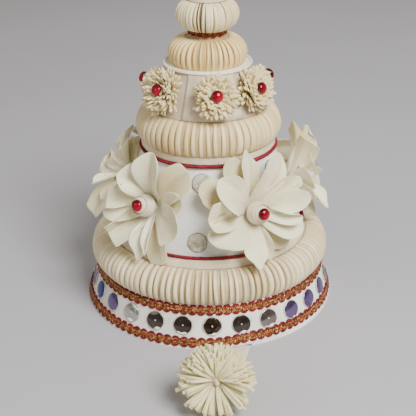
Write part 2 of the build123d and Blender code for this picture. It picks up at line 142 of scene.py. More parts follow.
FULL_FLOWER = (
    (4.0, 1.02, 1.45, 22.0, 0.0, 0.45, 3.8, "round", "valley", 0.10),
    (-41.0, 0.86, 1.00, 21.0, 0.0, 0.45, 2.8, "square", "valley", -0.40),
    (41.0, 0.94, 1.60, 5.0, 0.0, 0.25, 1.6, "square", "valley", 0.25),
    (72.0, 0.86, 1.05, 20.0, 0.0, 0.45, 3.2, "round", "plain", 0.0),
    (106.0, 0.98, 1.60, 18.0, 0.0, 0.42, 3.8, "round", "spoon", 0.0),
    (163.0, 0.99, 0.95, 5.0, 0.0, 0.35, 1.4, "square", "plain", 0.0),
    (164.0, 0.88, 0.48, 22.0, 0.0, 0.60, 3.4, "point", "valley", 0.0),
    (179.0, 0.97, 0.80, 14.0, 0.0, 0.50, 2.6, "point", "valley", 0.20),
    (-138.0, 0.96, 1.40, 20.0, 0.0, 0.45, 2.6, "square", "rolled", -1.0),
    (-113.0, 0.93, 0.90, 27.0, 0.0, 0.60, 3.8, "narrow", "rolled", -1.0),
    (-94.0, 0.89, 1.05, 21.0, 0.0, 0.45, 2.2, "square", "plain", 0.0),
    (-70.0, 0.66, 0.80, 15.0, 0.0, 0.40, 1.4, "round", "plain", 0.0),
)
LEFT_FLOWER = (
    (0.0, 0.74, 0.95, 10.0, 50.0, 0.40, 1.4, "point", "plain", 0.0),
    (18.0, 0.82, 0.75, 10.0, 0.0, 0.50, 2.6, "point", "valley", 0.0),
    (24.0, 0.80, 0.60, 20.0, 30.0, 0.50, 3.4, "point", "valley", 0.20),
    (38.0, 0.86, 0.60, 14.0, -20.0, 0.50, 3.0, "point", "valley", 0.0),
    (50.0, 0.84, 0.80, 20.0, 0.0, 0.50, 3.8, "round", "valley", -0.20),
    (54.0, 0.72, 0.85, 30.0, 0.0, 0.45, 2.6, "round", "spoon", 0.0),
    (68.0, 0.70, 0.80, 30.0, 0.0, 0.50, 3.8, "round", "spoon", 0.0),
    (105.0, 0.84, 0.60, 30.0, -20.0, 0.60, 3.4, "narrow", "rolled", 1.0),
    (135.0, 0.76, 0.80, 20.0, -30.0, 0.50, 2.0, "round", "plain", 0.0),
    (164.0, 1.03, 0.98, 20.0, -60.0, 0.40, 3.4, "square", "valley", 0.0),
    (202.0, 0.98, 1.00, 22.0, 0.0, 0.45, 2.4, "round", "plain", 0.0),
    (240.0, 0.95, 1.10, 22.0, 0.0, 0.45, 3.6, "square", "valley", 0.30),
    (282.0, 0.95, 1.10, 20.0, 0.0, 0.45, 2.0, "round", "plain", 0.0),
    (324.0, 0.88, 1.10, 18.0, 0.0, 0.45, 3.6, "round", "valley", -0.30),
)
RIGHT_FLOWER = (
    (14.0, 1.02, 1.10, 20.0, 55.0, 0.40, 2.0, "point", "valley", 0.20),
    (8.0, 0.98, 1.05, 34.0, 55.0, 0.40, 3.4, "point", "valley", -0.20),
    (-6.0, 0.80, 1.20, 40.0, 50.0, 0.45, 2.8, "square", "plain", 0.0),
    (-49.0, 0.58, 1.05, 52.0, 25.0, 0.50, 3.8, "square", "valley", 0.0),
    (-90.0, 0.60, 1.15, 35.0, 0.0, 0.50, 3.0, "round", "plain", 0.0),
    (-125.0, 0.72, 0.90, 25.0, 0.0, 0.50, 2.4, "round", "plain", 0.0),
    (212.0, 0.86, 0.85, 26.0, 40.0, 0.50, 3.8, "point", "valley", 0.0),
    (190.0, 0.86, 0.70, 14.0, 30.0, 0.50, 2.4, "point", "plain", 0.0),
    (140.0, 1.00, 1.10, 24.0, 0.0, 0.45, 3.6, "round", "valley", 0.30),
    (96.0, 0.98, 1.15, 21.0, 0.0, 0.45, 2.0, "square", "plain", 0.0),
    (48.0, 1.00, 1.10, 20.0, 0.0, 0.45, 3.6, "round", "spoon", 0.0),
)
FLOWER_KINDS = {"wide": WIDE_FLOWER, "full": FULL_FLOWER, "left": LEFT_FLOWER, "right": RIGHT_FLOWER}
HUB_HEIGHT = 12.6 * MM
BUD_HEIGHT = 10.4 * MM
# Stones: where the ball is cut below its middle, as a share of its radius
DOME_CUT = 0.25

# Tufted flowers round the small drum: turn from the front, and in millimetres the strips' reach and
# the height on the drum
TUFTS = (
    (-108.0, 14.0, 10.6), (-48.0, 21.0, 16.6), (7.6, 20.5, 16.6), (51.5, 20.0, 16.6),
    (114.0, 13.5, 10.6), (158.0, 18.0, 14.6), (204.0, 20.0, 16.6),
)
TUFT_CORE = 4.6 * MM
# Rows of strips: angle from the axis, number of strips, length as a share
TUFT_ROWS = (
    (29.0, 12, 0.64),
    (37.0, 17, 0.76),
    (45.0, 21, 0.87),
    (53.0, 24, 0.95),
    (61.0, 26, 1.00),
    (69.0, 25, 1.00),
    (77.0, 20, 0.95),
    (84.0, 14, 0.85),
)
# How far a tuft's foot and its stone stand out from the small drum
TUFT_FOOT = 1.5 * MM
TUFT_STONE_RISE = 12.2 * MM
# The pompom's rows of strips, in the same way
POMPOM_ROWS = (
    (16.0, 12, 0.50),
    (24.0, 22, 0.62),
    (32.0, 32, 0.72),
    (40.0, 40, 0.80),
    (49.0, 46, 0.88),
    (58.0, 50, 0.94),
    (66.0, 50, 0.97),
    (74.0, 54, 1.00),
    (82.0, 56, 1.03),
    (90.0, 56, 1.04),
    (98.0, 52, 1.02),
    (108.0, 40, 0.97),
)
POMPOM_CENTRE = Vector((4.0, -180.0, 27.6)) * MM
POMPOM_RISE = math.radians(26.0)
POMPOM_CORE = 9.0 * MM

# Strap from under the rim to the pompom: distance from its root and height, in millimetres
STRAP_ROOT_TURN = math.radians(14.4)
STRAP_ROUTE = ((0.0, 0.7), (27.0, 0.7), (54.5, 6.8))
STRAP_WIDTH = 12.8 * MM
STRAP_THICKNESS = 0.9 * MM
BAND_WALL = 1.6 * MM

# Braids: their radii, and rows of stitches by share of the width and tilt
LOWER_BRAID_RADIUS = 103.5 * MM
UPPER_BRAID_RADIUS = 96.5 * MM
BAND_BRAID_ROWS = ((0.26, 34.0), (0.42, -34.0), (0.58, 34.0), (0.74, -34.0))
NECK_BRAID_ROWS = ((0.35, 34.0), (0.65, -34.0))

# Mirrors: how far each stands off its seat, and those of the band with the tones of the ones in front; a tone
# picks the colour of reflection painted on the disc
MIRROR_GAP = 0.1 * MM
MIRROR_THICKNESS = 0.95 * MM
BAND_MIRROR_COUNT = 27
BAND_MIRROR_RADIUS = 7.2 * MM
BAND_MIRROR_HEIGHT = 17.65 * MM
BAND_MIRROR_REFLECTION_TONES = {
    0: 0.03, 1: 0.15, 2: 0.38, 3: 0.72, 4: 0.62, 5: 0.58, 26: 0.10, 25: 0.20, 24: 0.97, 23: 0.60,
    22: 0.88, 21: 0.66,
}
# The drum's mirrors: radius, and for each row its share of the cone's height and its turn aside
DRUM_MIRROR_RADIUS = 7.25 * MM
DRUM_MIRROR_ROWS = ((0.25, -2.0), (0.83, 0.0))

# Point that the lamps face
LIGHT_TARGET = Vector((0.0, 0.0, 0.14))

# Colour that leaves another as it is when multiplied
WHITE = (1.0, 1.0, 1.0)


def colour_property(name, description, default):
    return FloatVectorProperty(
        name=name, description=description, subtype="COLOR", default=default, min=0.0, max=1.0,
    )


def length_property(name, description, default, low, high):
    """A length with its default and its limits in millimetres."""
    return FloatProperty(
        name=name, description=description, default=default * MM, min=low * MM, max=high * MM,
        subtype="DISTANCE", unit="LENGTH",
    )


class FinishColours(bpy.types.PropertyGroup):
    """Colours of the papers, pith, threads and stones."""

    pith: colour_property("Pith", "Light shade of the pith petals", (0.95, 0.90, 0.63))
    pleats: colour_property("Pleats", "Cream of the lowest ring's outer edges", (0.94, 0.82, 0.54))
    band_paper: colour_property("Band paper", "White paper of the base band", (0.92, 0.89, 0.80))
    drum_paper: colour_property("Drum paper", "Glazed white paper of the main drum", (0.90, 0.90, 0.88))
    gold_thread: colour_property("Gold thread", "Copper-gold thread of the braids", (0.38, 0.145, 0.05))
    red_thread: colour_property("Red thread", "Red thread of the scallops", (0.17, 0.001, 0.008))
    gem: colour_property("Gem", "Red of the domed stones", (0.20, 0.0003, 0.009))
    strap_cloth: colour_property("Strap cloth", "Off-white of the woven strap", (0.88, 0.82, 0.66))


class PieceSizes(bpy.types.PropertyGroup):
    """Sizes of the small pieces."""

    fin_spread: length_property("Fin spread", "How far a fin's middle strays sideways", 0.9, 0.0, 3.0)
    petal_thickness: length_property("Petal thickness", "Thickness of a petal's pith sheet", 0.7, 0.2, 2.0)
    petal_wave: length_property("Petal wave", "Height of the waves along a petal's edges", 1.9, 0.0, 4.0)
    tuft_strip_width: length_property("Tuft strip width", "Width of a tufted flower's strips", 3.0, 0.5, 5.0)
    pompom_radius: length_property("Pompom radius", "Reach of the pompom's strips", 27.0, 10.0, 40.0)
    pompom_strip_width: length_property("Pompom strip width", "Width of the pompom's strips", 2.7, 0.5, 6.0)
    scallop_pitch: length_property(
        "Scallop pitch", "Distance from one red scallop to the next", 6.9, 3.0, 15.0,
    )
    stitch_pitch: length_property("Stitch pitch", "Distance from one gold stitch to the next", 1.75, 1.0, 5.0)
    cord_ribs: IntProperty(
        name="Cord ribs", description="Ribs round the lower red cord", default=430, min=50, max=900,
    )


class StageSettings(bpy.types.PropertyGroup):
    """Camera and light."""

    camera_height: FloatProperty(
        name="Camera height", description="Height of the camera above the floor",
        default=0.414, subtype="DISTANCE", unit="LENGTH",
    )
    camera_distance: FloatProperty(
        name="Camera distance", description="Distance of the camera in front of the axis",
        default=0.714, subtype="DISTANCE", unit="LENGTH",
    )
    camera_pitch: FloatProperty(
        name="Camera pitch", description="Angle by which the camera looks down",
        default=math.radians(25.6), subtype="ANGLE", unit="ROTATION",
    )
    key_power: FloatProperty(
        name="Key power", description="Power of the main soft light", default=50.0, unit="POWER",
    )
    fill_power: FloatProperty(
        name="Fill power", description="Power of the soft light at the left", default=3.5, unit="POWER",
    )


def colours():
    return bpy.context.scene.headdress_colours


def sizes():
    return bpy.context.scene.headdress_sizes


# Pieces and meshes


def seat(turn, radius, height, lean):
    """Matrix of a seat on a cone: X to the viewer's right, Y up the cone, Z outwards."""
    turn = math.radians(turn)
    outward = Vector((math.sin(turn) * math.cos(lean), -math.cos(turn) * math.cos(lean), math.sin(lean)))
    right = Vector((math.cos(turn), math.sin(turn), 0.0))
    up = outward.cross(right)
    made = Matrix((right, up, outward)).transposed().to_4x4()
    made.translation = (radius * math.sin(turn), -radius * math.cos(turn), height)
    return made


def turned(degrees, axis):
    return Matrix.Rotation(math.radians(degrees), 4, axis)


def moved(x, y, z):
    return Matrix.Translation((x, y, z))


def add_piece(name, bm, materials, replaces=()):
    """Turn a bmesh into a piece of the headdress."""
    mesh = bpy.data.meshes.new(name)
    bm.to_mesh(mesh)
    bm.free()
    for material in materials:
        mesh.materials.append(material)
    mesh.shade_smooth()
    piece = bpy.data.objects.new(name, mesh)
    bpy.context.scene.collection.objects.link(piece)
    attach(piece, "root")
    if replaces:
        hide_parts(*replaces)
    return piece


def template(bm):
    """A mesh to stamp many times, made from a bmesh."""
    mesh = bpy.data.meshes.new("template")
    bm.to_mesh(mesh)
    bm.free()
    return mesh


def stamp(bm, mesh, matrix, bend=None, tone=None, material=None):
    """Add a copy of a template to a bmesh, with its points bent and put in their place."""
    copy = mesh.copy()
    if bend is not None:
        for vert in copy.vertices:
            vert.co = bend(vert.co)
    if tone is not None:
        copy.attributes["tone"].data.foreach_set("value", [tone] * len(copy.vertices))
    if material is not None:
        copy.polygons.foreach_set("material_index", [material] * len(copy.polygons))
    copy.transform(matrix)
    bm.from_mesh(copy)
    bpy.data.meshes.remove(copy)


def new_bmesh(*layers):
    bm = bmesh.new()
    for layer in layers:
        if layer == "uv":
            bm.loops.layers.uv.new("UVMap")
        else:
            bm.verts.layers.float.new(layer)
    return bm


def sheet_grid(along, across, layers=("uv",)):
    """A grid of unit size: X from 0 to 1 along the sheet, Y from -1 to 1 across it."""
    bm = new_bmesh(*layers)
    bmesh.ops.create_grid(bm, x_segments=along, y_segments=across, size=1.0, calc_uvs=True)
    for vert in bm.verts:
        vert.co.x = (vert.co.x + 1) / 2
    return bm


def outward(bm):
    """Turn the faces of a shape outwards."""
    bmesh.ops.recalc_face_normals(bm, faces=bm.faces[:])


def thicken(bm, thickness):
    """Make a sheet into a closed shape."""
    bmesh.ops.solidify(bm, geom=bm.faces[:], thickness=thickness)
    outward(bm)


def round_section(bm, distance, radius, segments, height=0.0):
    """A circle that stands beside the Z axis, to be spun round it."""
    place = moved(distance, 0, height) @ turned(90, "X")
    made = bmesh.ops.create_circle(bm, segments=segments, radius=radius, matrix=place)
    return made["verts"] + list(dict.fromkeys(edge for vert in made["verts"] for edge in vert.link_edges))


def spin_round(bm, geom, steps, degrees=360.0):
    """Spin geometry round the Z axis, and close a full turn."""
    bmesh.ops.spin(
        bm, geom=geom, cent=(0, 0, 0), axis=(0, 0, 1), dvec=(0, 0, 0), angle=math.radians(degrees),
        steps=steps, use_merge=degrees >= 360.0,
    )


def spin_profile(bm, profile, steps):
    """Spin a line of (radius, height) points round the Z axis, in an empty bmesh."""
    verts = [bm.verts.new((radius, 0.0, height)) for radius, height in profile]
    for pair in zip(verts, verts[1:]):
        bm.edges.new(pair)
    spin_round(bm, bm.verts[:] + bm.edges[:], steps)


def tapered(low_radius, high_radius, share):
    """Radius of a cone at a share of its height."""
    return low_radius - (low_radius - high_radius) * share


def smooth_step(share):
    share = min(max(share, 0.0), 1.0)
    return share * share * (3 - 2 * share)


# Procedural finishes


def add_node(tree, kind, values=None, **settings):
    """A shader node with its settings, and its inputs linked or set."""
    made = tree.nodes.new(kind)
    for name, value in settings.items():
        setattr(made, name, value)
    for name, value in (values or {}).items():
        if isinstance(value, bpy.types.NodeSocket):
            tree.links.new(value, made.inputs[name])
        else:
            made.inputs[name].default_value = value
    return made


def ramp(tree, factor, *stops):
    """A colour ramp between stops of (position, colour)."""
    made = add_node(tree, "ShaderNodeValToRGB", {"Fac": factor})
    elements = made.color_ramp.elements
    while len(elements) < len(stops):
        elements.new(0.5)
    for element, (position, colour) in zip(elements, stops):
        element.position = position
        element.color = (*colour, 1.0)
    return made.outputs["Color"]


def grey_ramp(tree, factor, low, high, dark=0.0, light=1.0):
    return ramp(tree, factor, (low, (dark,) * 3), (high, (light,) * 3))


def mix(tree, factor, first, second, blend="MIX"):
    made = add_node(tree, "ShaderNodeMix", data_type="RGBA", blend_type=blend)
    for index, value in ((0, factor), (6, first), (7, second)):
        if isinstance(value, bpy.types.NodeSocket):
            tree.links.new(value, made.inputs[index])
        elif index == 0:
            made.inputs[index].default_value = value
        else:
            made.inputs[index].default_value = (*value, 1.0)
    return made.outputs[2]


def noise(tree, vector, scale, detail=3.0, rough=0.55):
    values = {"Vector": vector, "Scale": scale, "Detail": detail, "Roughness": rough}
    return add_node(tree, "ShaderNodeTexNoise", values).outputs["Fac"]


def stretched(tree, vector, scale):
    return add_node(tree, "ShaderNodeMapping", {"Vector": vector, "Scale": scale}).outputs["Vector"]


def attribute(tree, name):
    return add_node(tree, "ShaderNodeAttribute", attribute_name=name).outputs["Fac"]


def object_coordinates(tree):
    return add_node(tree, "ShaderNodeTexCoord").outputs["Object"]


def uv_coordinates(tree):
    return add_node(tree, "ShaderNodeTexCoord").outputs["UV"]


def bump(tree, height, strength, distance, normal=None):
    values = {"Height": height, "Strength": strength, "Distance": distance}
    if normal is not None:
        values["Normal"] = normal
    return add_node(tree, "ShaderNodeBump", values).outputs["Normal"]


def new_finish(name, values):
    """A material with a Principled shader, and its tree."""
    material = bpy.data.materials.new(name)
    material.use_nodes = True
    shader = material.node_tree.nodes["Principled BSDF"]
    for key, value in values.items():
        shader.inputs[key].default_value = value
    return material, material.node_tree, shader


def shaded(colour, share):
    return tuple(channel * share for channel in colour)


def pith_finish(
    name, light, shade, fibre_scale, tone_share=0.35, patch_scale=38.0, on_uv=True, root_shade_colour=None,
    crease_shade_colour=None,
):
    """Satin shola pith: cream patches, fine fibres along the sheet and a few small specks."""
    material, tree, shader = new_finish(
        name,
        {"Roughness": 0.55, "Sheen Weight": 0.15, "Subsurface Weight": 0.12, "Subsurface Scale": 0.002},
    )
    shader.inputs["Subsurface Radius"].default_value = (1.0, 0.85, 0.6)
    place = object_coordinates(tree)
    along = uv_coordinates(tree) if on_uv else place
    patches = noise(tree, place, patch_scale, 4.0)
    colour = ramp(tree, patches, (0.36, shade), (0.60, light))
    fibre = noise(tree, stretched(tree, along, fibre_scale), 1.0, 5.0, 0.65)
    colour = mix(tree, 0.55, colour, grey_ramp(tree, fibre, 0.25, 0.6, 0.72, 1.0), "MULTIPLY")
    # Tone dulls the colour towards beige: at random from strip to strip, and as painted shade on petals of the
    # lower layer.
    if tone_share:
        beige = (1 - tone_share, 1 - 1.2 * tone_share, 1 - 1.6 * tone_share)
        toned = ramp(tree, attribute(tree, "tone"), (0.0, beige), (1.0, WHITE))
        colour = mix(tree, 1.0, colour, toned, "MULTIPLY")
    # Towards a sheet's root, and all over cores and hubs that have no UVs, the colour turns to the root shade
    # colour: painted shade where petals and strips crowd together.
    if root_shade_colour is not None:
        across = add_node(tree, "ShaderNodeSeparateXYZ", {"Vector": along}).outputs["X"]
        colour = mix(tree, grey_ramp(tree, across, 0.06, 0.42, 1.0, 0.0), colour, root_shade_colour)
    # Folds, rolled edges and spoon hollows turn to a darker beige: painted shade.
    if crease_shade_colour is not None:
        crease_shade_mask = grey_ramp(tree, attribute(tree, "crease_shade"), 0.05, 1.0, 0.0, 0.75)
        colour = mix(tree, crease_shade_mask, colour, crease_shade_colour)
    specks = noise(tree, place, 310.0, 1.0)
    colour = mix(tree, grey_ramp(tree, specks, 0.775, 0.80), colour, (0.16, 0.10, 0.06))
    tree.links.new(colour, shader.inputs["Base Color"])
    tree.links.new(grey_ramp(tree, patches, 0.3, 0.7, 0.62, 0.46), shader.inputs["Roughness"])
    grain = noise(tree, place, 900.0, 2.0)
    creases = noise(tree, stretched(tree, along, shaded(fibre_scale, 0.28)), 1.0, 2.0)
    normal = bump(tree, creases, 0.45, 0.0012)
    normal = bump(tree, fibre, 0.35, 0.0004, normal)
    normal = bump(tree, grain, 0.10, 0.0001, normal)
    tree.links.new(normal, shader.inputs["Normal"])
    return material


def pleat_finish(name, light, fold):
    """Pith fins: light cream crests, and painted shade in a warmer, darker cream down in the folds."""
    material, tree, shader = new_finish(
        name, {"Sheen Weight": 0.1, "Subsurface Weight": 0.1, "Subsurface Scale": 0.002},
    )
    place = object_coordinates(tree)
    depth = attribute(tree, "depth")
    # From root to crest: the fold colour's painted shade, a shaded step of the light cream, then the light
    # cream.
    colour = ramp(tree, depth, (0.0, fold), (0.55, shaded(light, 0.86)), (1.0, light))
    patches = noise(tree, place, 26.0, 4.0)
    aged = ramp(tree, patches, (0.35, (0.86, 0.80, 0.70)), (0.62, WHITE))
    colour = mix(tree, 0.6, colour, aged, "MULTIPLY")
    toned = ramp(tree, attribute(tree, "tone"), (0.0, (0.80, 0.76, 0.68)), (1.0, WHITE))
    colour = mix(tree, 1.0, colour, toned, "MULTIPLY")
    fibre = noise(tree, stretched(tree, place, (420.0, 420.0, 60.0)), 1.0, 4.0)
    specks = noise(tree, place, 260.0, 1.0)
    colour = mix(tree, grey_ramp(tree, specks, 0.80, 0.83), colour, (0.14, 0.08, 0.05))
    tree.links.new(colour, shader.inputs["Base Color"])
    tree.links.new(grey_ramp(tree, patches, 0.3, 0.7, 0.60, 0.45), shader.inputs["Roughness"])
    tree.links.new(bump(tree, fibre, 0.25, 0.0003), shader.inputs["Normal"])
    return material


def paper_finish(name, colour, roughness, coat, stain, wrinkle, scuffing):
    """Paper pasted over card: faint stains and scuffs, soft wrinkles and fine fibres."""
    material, tree, shader = new_finish(name, {"Coat Weight": coat, "Coat Roughness": 0.25})
    place = object_coordinates(tree)
    stains = noise(tree, place, 17.0, 5.0, 0.6)
    painted = ramp(tree, stains, (0.34, stain), (0.58, colour))
    fibres = noise(tree, place, 520.0, 3.0)
    painted = mix(tree, 0.35, painted, grey_ramp(tree, fibres, 0.3, 0.6, 0.85, 1.0), "MULTIPLY")
    scuffs = noise(tree, stretched(tree, place, (1.0, 1.0, 0.6)), 210.0, 6.0, 0.75)
    painted = mix(tree, grey_ramp(tree, scuffs, 0.62, 0.70, 0.0, scuffing), painted, (0.33, 0.31, 0.26))
    tree.links.new(painted, shader.inputs["Base Color"])
    rough = grey_ramp(tree, stains, 0.3, 0.7, roughness + 0.08, roughness - 0.05)
    tree.links.new(rough, shader.inputs["Roughness"])
    wrinkles = noise(tree, stretched(tree, place, (1.0, 1.0, 2.6)), 30.0, 3.0)
    normal = bump(tree, wrinkles, wrinkle, 0.0012)
    normal = bump(tree, fibres, 0.12, 0.0001, normal)
    tree.links.new(normal, shader.inputs["Normal"])
    return material


def gold_finish():
    """Copper-gold metal thread, brighter and darker from stitch to stitch, with painted highlights where the
    fine noise peaks in bright copper.
    """
    material, tree, shader = new_finish("gold thread", {"Metallic": 0.75})
    place = object_coordinates(tree)
    gold = colours().gold_thread
    stitches = noise(tree, place, 620.0, 2.0)
    # The brightest stop paints highlight specks; the dark stop is darker copper at random.
    colour = ramp(tree, stitches, (0.34, shaded(gold, 0.30)), (0.50, gold), (0.66, (0.82, 0.44, 0.17)))
    toned = ramp(tree, attribute(tree, "tone"), (0.0, (0.45, 0.30, 0.26)), (1.0, WHITE))
    colour = mix(tree, 1.0, colour, toned, "MULTIPLY")
    tree.links.new(colour, shader.inputs["Base Color"])
    tree.links.new(grey_ramp(tree, stitches, 0.3, 0.7, 0.50, 0.30), shader.inputs["Roughness"])
    twist = noise(tree, place, 2400.0, 1.0)
    tree.links.new(bump(tree, twist, 0.3, 0.0002), shader.inputs["Normal"])
    return material


def red_thread_finish(name, colour):
    """Red cotton thread with a soft sheen and fine twist."""
    material, tree, shader = new_finish(name, {"Roughness": 0.55, "Specular IOR Level": 0.3})
    place = object_coordinates(tree)
    worn = noise(tree, place, 210.0, 3.0)
    painted = ramp(tree, worn, (0.35, shaded(colour, 0.55)), (0.55, colour), (0.75, (0.34, 0.010, 0.025)))
    tree.links.new(painted, shader.inputs["Base Color"])
    twist = noise(tree, stretched(tree, place, (1.0, 1.0, 0.4)), 2100.0, 2.0)
    tree.links.new(bump(tree, twist, 0.4, 0.0002), shader.inputs["Normal"])
    return material


def mirror_finish():
    """Old mirror glass with painted reflections: dark brown, violet, blue or cream from disc to disc."""
    material, tree, shader = new_finish("mirror glass", {"Metallic": 1.0})
    place = object_coordinates(tree)
    reflection_tint = ramp(
        tree, attribute(tree, "tone"),
        (0.0, (0.10, 0.075, 0.060)), (0.25, (0.13, 0.105, 0.095)), (0.40, (0.34, 0.28, 0.26)),
        (0.50, (0.16, 0.10, 0.24)), (0.75, (0.28, 0.19, 0.40)), (0.88, (0.03, 0.04, 0.22)),
        (1.0, (0.80, 0.78, 0.70)),
    )
    clouds = noise(tree, place, 240.0, 4.0)
    colour = mix(tree, 0.5, reflection_tint, grey_ramp(tree, clouds, 0.35, 0.6, 0.6, 1.0), "MULTIPLY")
    tree.links.new(colour, shader.inputs["Base Color"])
    tree.links.new(grey_ramp(tree, clouds, 0.4, 0.8, 0.10, 0.32), shader.inputs["Roughness"])
    return material


def painted_reflection_mirror_finish():
    """A drum mirror whose pale cream with brown clouds is painted reflection."""
    material, tree, shader = new_finish(
        "pale mirror glass", {"Metallic": 0.35, "Coat Weight": 0.8, "Coat Roughness": 0.06},
    )
    place = object_coordinates(tree)
    clouds = noise(tree, place, 95.0, 3.0)
    colour = ramp(
        tree, clouds, (0.40, (0.42, 0.34, 0.22)), (0.52, (0.72, 0.66, 0.52)), (0.66, (0.80, 0.77, 0.68)),
    )
    tree.links.new(colour, shader.inputs["Base Color"])
    tree.links.new(grey_ramp(tree, clouds, 0.4, 0.8, 0.22, 0.40), shader.inputs["Roughness"])
    return material


def glue_finish():
    """Dried glue at a mirror's edge: glossy, off-white and lumpy, and greyer down to dark brown where its tone
    is low.
    """
    material, tree, shader = new_finish("dried glue", {"Coat Weight": 0.6, "Roughness": 0.3})
    place = object_coordinates(tree)
    lumps = noise(tree, place, 500.0, 3.0)
    colour = ramp(tree, lumps, (0.35, (0.60, 0.57, 0.46)), (0.6, (0.86, 0.84, 0.76)))
    # Low tone greys the glue: darkest round the drum mirrors, less round the front band mirrors.
    tone = attribute(tree, "tone")
    tone_greying = ramp(tree, tone, (0.0, (0.16, 0.14, 0.11)), (0.5, (0.62, 0.60, 0.55)), (1.0, WHITE))
    tree.links.new(mix(tree, 1.0, colour, tone_greying, "MULTIPLY"), shader.inputs["Base Color"])
    tree.links.new(bump(tree, lumps, 0.4, 0.0004), shader.inputs["Normal"])
    return material


def gem_finish():
    """A domed red stone, dark at one side and lit through at the other."""
    colour = colours().gem
    material, tree, shader = new_finish(
        "red stone", {"Coat Weight": 0.2, "Coat Roughness": 0.03, "Roughness": 0.14, "Specular IOR Level": 0.2},
    )
    glow = attribute(tree, "tone")
    painted = ramp(tree, glow, (0.0, shaded(colour, 0.25)), (0.55, colour), (1.0, (0.44, 0.0005, 0.028)))
    flaws = noise(tree, object_coordinates(tree), 700.0, 2.0)
    painted = mix(tree, 0.4, painted, grey_ramp(tree, flaws, 0.35, 0.6, 0.6, 1.0), "MULTIPLY")
    tree.links.new(painted, shader.inputs["Base Color"])
    return material


def cloth_finish():
    """Plain-woven tape on the strap's own UV map."""
    material, tree, shader = new_finish("woven strap", {"Roughness": 0.85, "Sheen Weight": 0.3})
    uv = uv_coordinates(tree)
    colour = colours().strap_cloth
    lengthways = add_node(
        tree, "ShaderNodeTexWave", {"Vector": stretched(tree, uv, (1.0, 9.0, 1.0)), "Scale": 1.0},
        bands_direction="Y",
    ).outputs["Fac"]
    crossways = add_node(
        tree, "ShaderNodeTexWave", {"Vector": stretched(tree, uv, (52.0, 1.0, 1.0)), "Scale": 1.0},
        bands_direction="X",
    ).outputs["Fac"]
    weave = mix(tree, 1.0, lengthways, crossways, "MULTIPLY")
    worn = noise(tree, object_coordinates(tree), 60.0, 4.0)
    painted = ramp(tree, worn, (0.35, shaded(colour, 0.78)), (0.6, colour))
    painted = mix(tree, 0.5, painted, grey_ramp(tree, weave, 0.0, 0.7, 0.75, 1.0), "MULTIPLY")
    tree.links.new(painted, shader.inputs["Base Color"])
    tree.links.new(bump(tree, weave, 0.5, 0.0003), shader.inputs["Normal"])
    return material


def dress(node, material):
    """Give a CAD node its finish."""
    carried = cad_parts[node]
    carried.data.materials.clear()
    carried.data.materials.append(material)
    carried.data.shade_smooth()


class HEADDRESS_OT_stage(bpy.types.Operator):
    """Make the pale floor, the soft studio lights and the camera"""

    bl_idname = "headdress.stage"
    bl_label = "Stage"

    def execute(self, context):
        settings = context.scene.headdress_stage
        bm = bmesh.new()
        bmesh.ops.create_grid(bm, x_segments=1, y_segments=1, size=3.0)
        mesh = bpy.data.meshes.new("floor")
        bm.to_mesh(mesh)
        bm.free()
        floor = bpy.data.objects.new("floor", mesh)
        context.scene.collection.objects.link(floor)
        material, tree, shader = new_finish("pale floor", {"Roughness": 0.75})
        tone = noise(tree, object_coordinates(tree), 3.0, 2.0)
        tree.links.new(
            ramp(tree, tone, (0.3, (0.40, 0.39, 0.41)), (0.7, (0.43, 0.42, 0.43))), shader.inputs["Base Color"]
        )
        mesh.materials.append(material)

        world = bpy.data.worlds.new("studio")
        world.use_nodes = True
        world.node_tree.nodes["Background"].inputs["Color"].default_value = (0.74, 0.69, 0.62, 1.0)
        world.node_tree.nodes["Background"].inputs["Strength"].default_value = 0.45
        context.scene.world = world
        for name, place, size, power in (
            ("key light", (0.62, -0.95, 1.25), 0.8, settings.key_power),
            ("fill light", (-1.1, -0.6, 0.7), 0.9, settings.fill_power),
            ("back light", (0.2, 1.1, 1.0), 0.8, settings.fill_power),
        ):
            light = bpy.data.lights.new(name, "AREA")
            light.shape = "DISK"
            light.size = size
            light.energy = power
            lamp = bpy.data.objects.new(name, light)
            lamp.location = place
            lamp.rotation_euler = (LIGHT_TARGET - Vector(place)).to_track_quat("-Z", "Y").to_euler()
            context.scene.collection.objects.link(lamp)

        camera_data = bpy.data.cameras.new("camera")
        camera_data.sensor_width = 36.0
        camera_data.lens = 943.0 / 416.0 * 36.0
        camera_data.shift_x = -1.0 / 416.0
        camera = bpy.data.objects.new("camera", camera_data)
        camera.matrix_world = (
            moved(0.0, -settings.camera_distance, settings.camera_height)
            @ Matrix.Rotation(math.pi / 2 - settings.camera_pitch, 4, "X")
            @ turned(-0.52, "Z")
        )
        context.scene.collection.objects.link(camera)
        context.scene.camera = camera
        return {"FINISHED"}


def strap_frame():
    """The strap's root, its way along the floor and its reach to below the pompom's middle."""
    radius = RIM_RADIUS - BAND_WALL / math.cos(BAND_LEAN)
    root = Vector((radius * math.sin(STRAP_ROOT_TURN), -radius * math.cos(STRAP_ROOT_TURN), 0.0))
    way = Vector((POMPOM_CENTRE.x - root.x, POMPOM_CENTRE.y - root.y, 0.0))
    reach = way.length
    way.normalize()
    return root, way, reach


def strap_points():
    """The strap's route, from under the rim to the pompom's core."""
    root, way, reach = strap_frame()
    along, high = STRAP_ROUTE[-1]
    last = math.hypot(reach / MM - along, POMPOM_CENTRE.z / MM - high)
    share = 1 - (POMPOM_CORE + SEAT_GAP) / MM / last
    end = (along + share * (reach / MM - along), high + share * (POMPOM_CENTRE.z / MM - high))
    return [root + way * (x * MM) + Vector((0, 0, z * MM)) for x, z in (*STRAP_ROUTE, end)]


def pompom_strip(width, thickness, blunt=0.0):
    """One flat pith strip along X, with a square or a rounded tip."""
    bm = sheet_grid(6, 2, ("uv", "tone"))
    for vert in bm.verts:
        flare = 0.82 + 0.22 * vert.co.x - blunt * smooth_step((vert.co.x - 0.8) / 0.2)
        vert.co.x -= 0.12 * blunt * abs(vert.co.y) * vert.co.x**8
        vert.co.y *= width / 2 * flare
    thicken(bm, thickness)
    return template(bm)


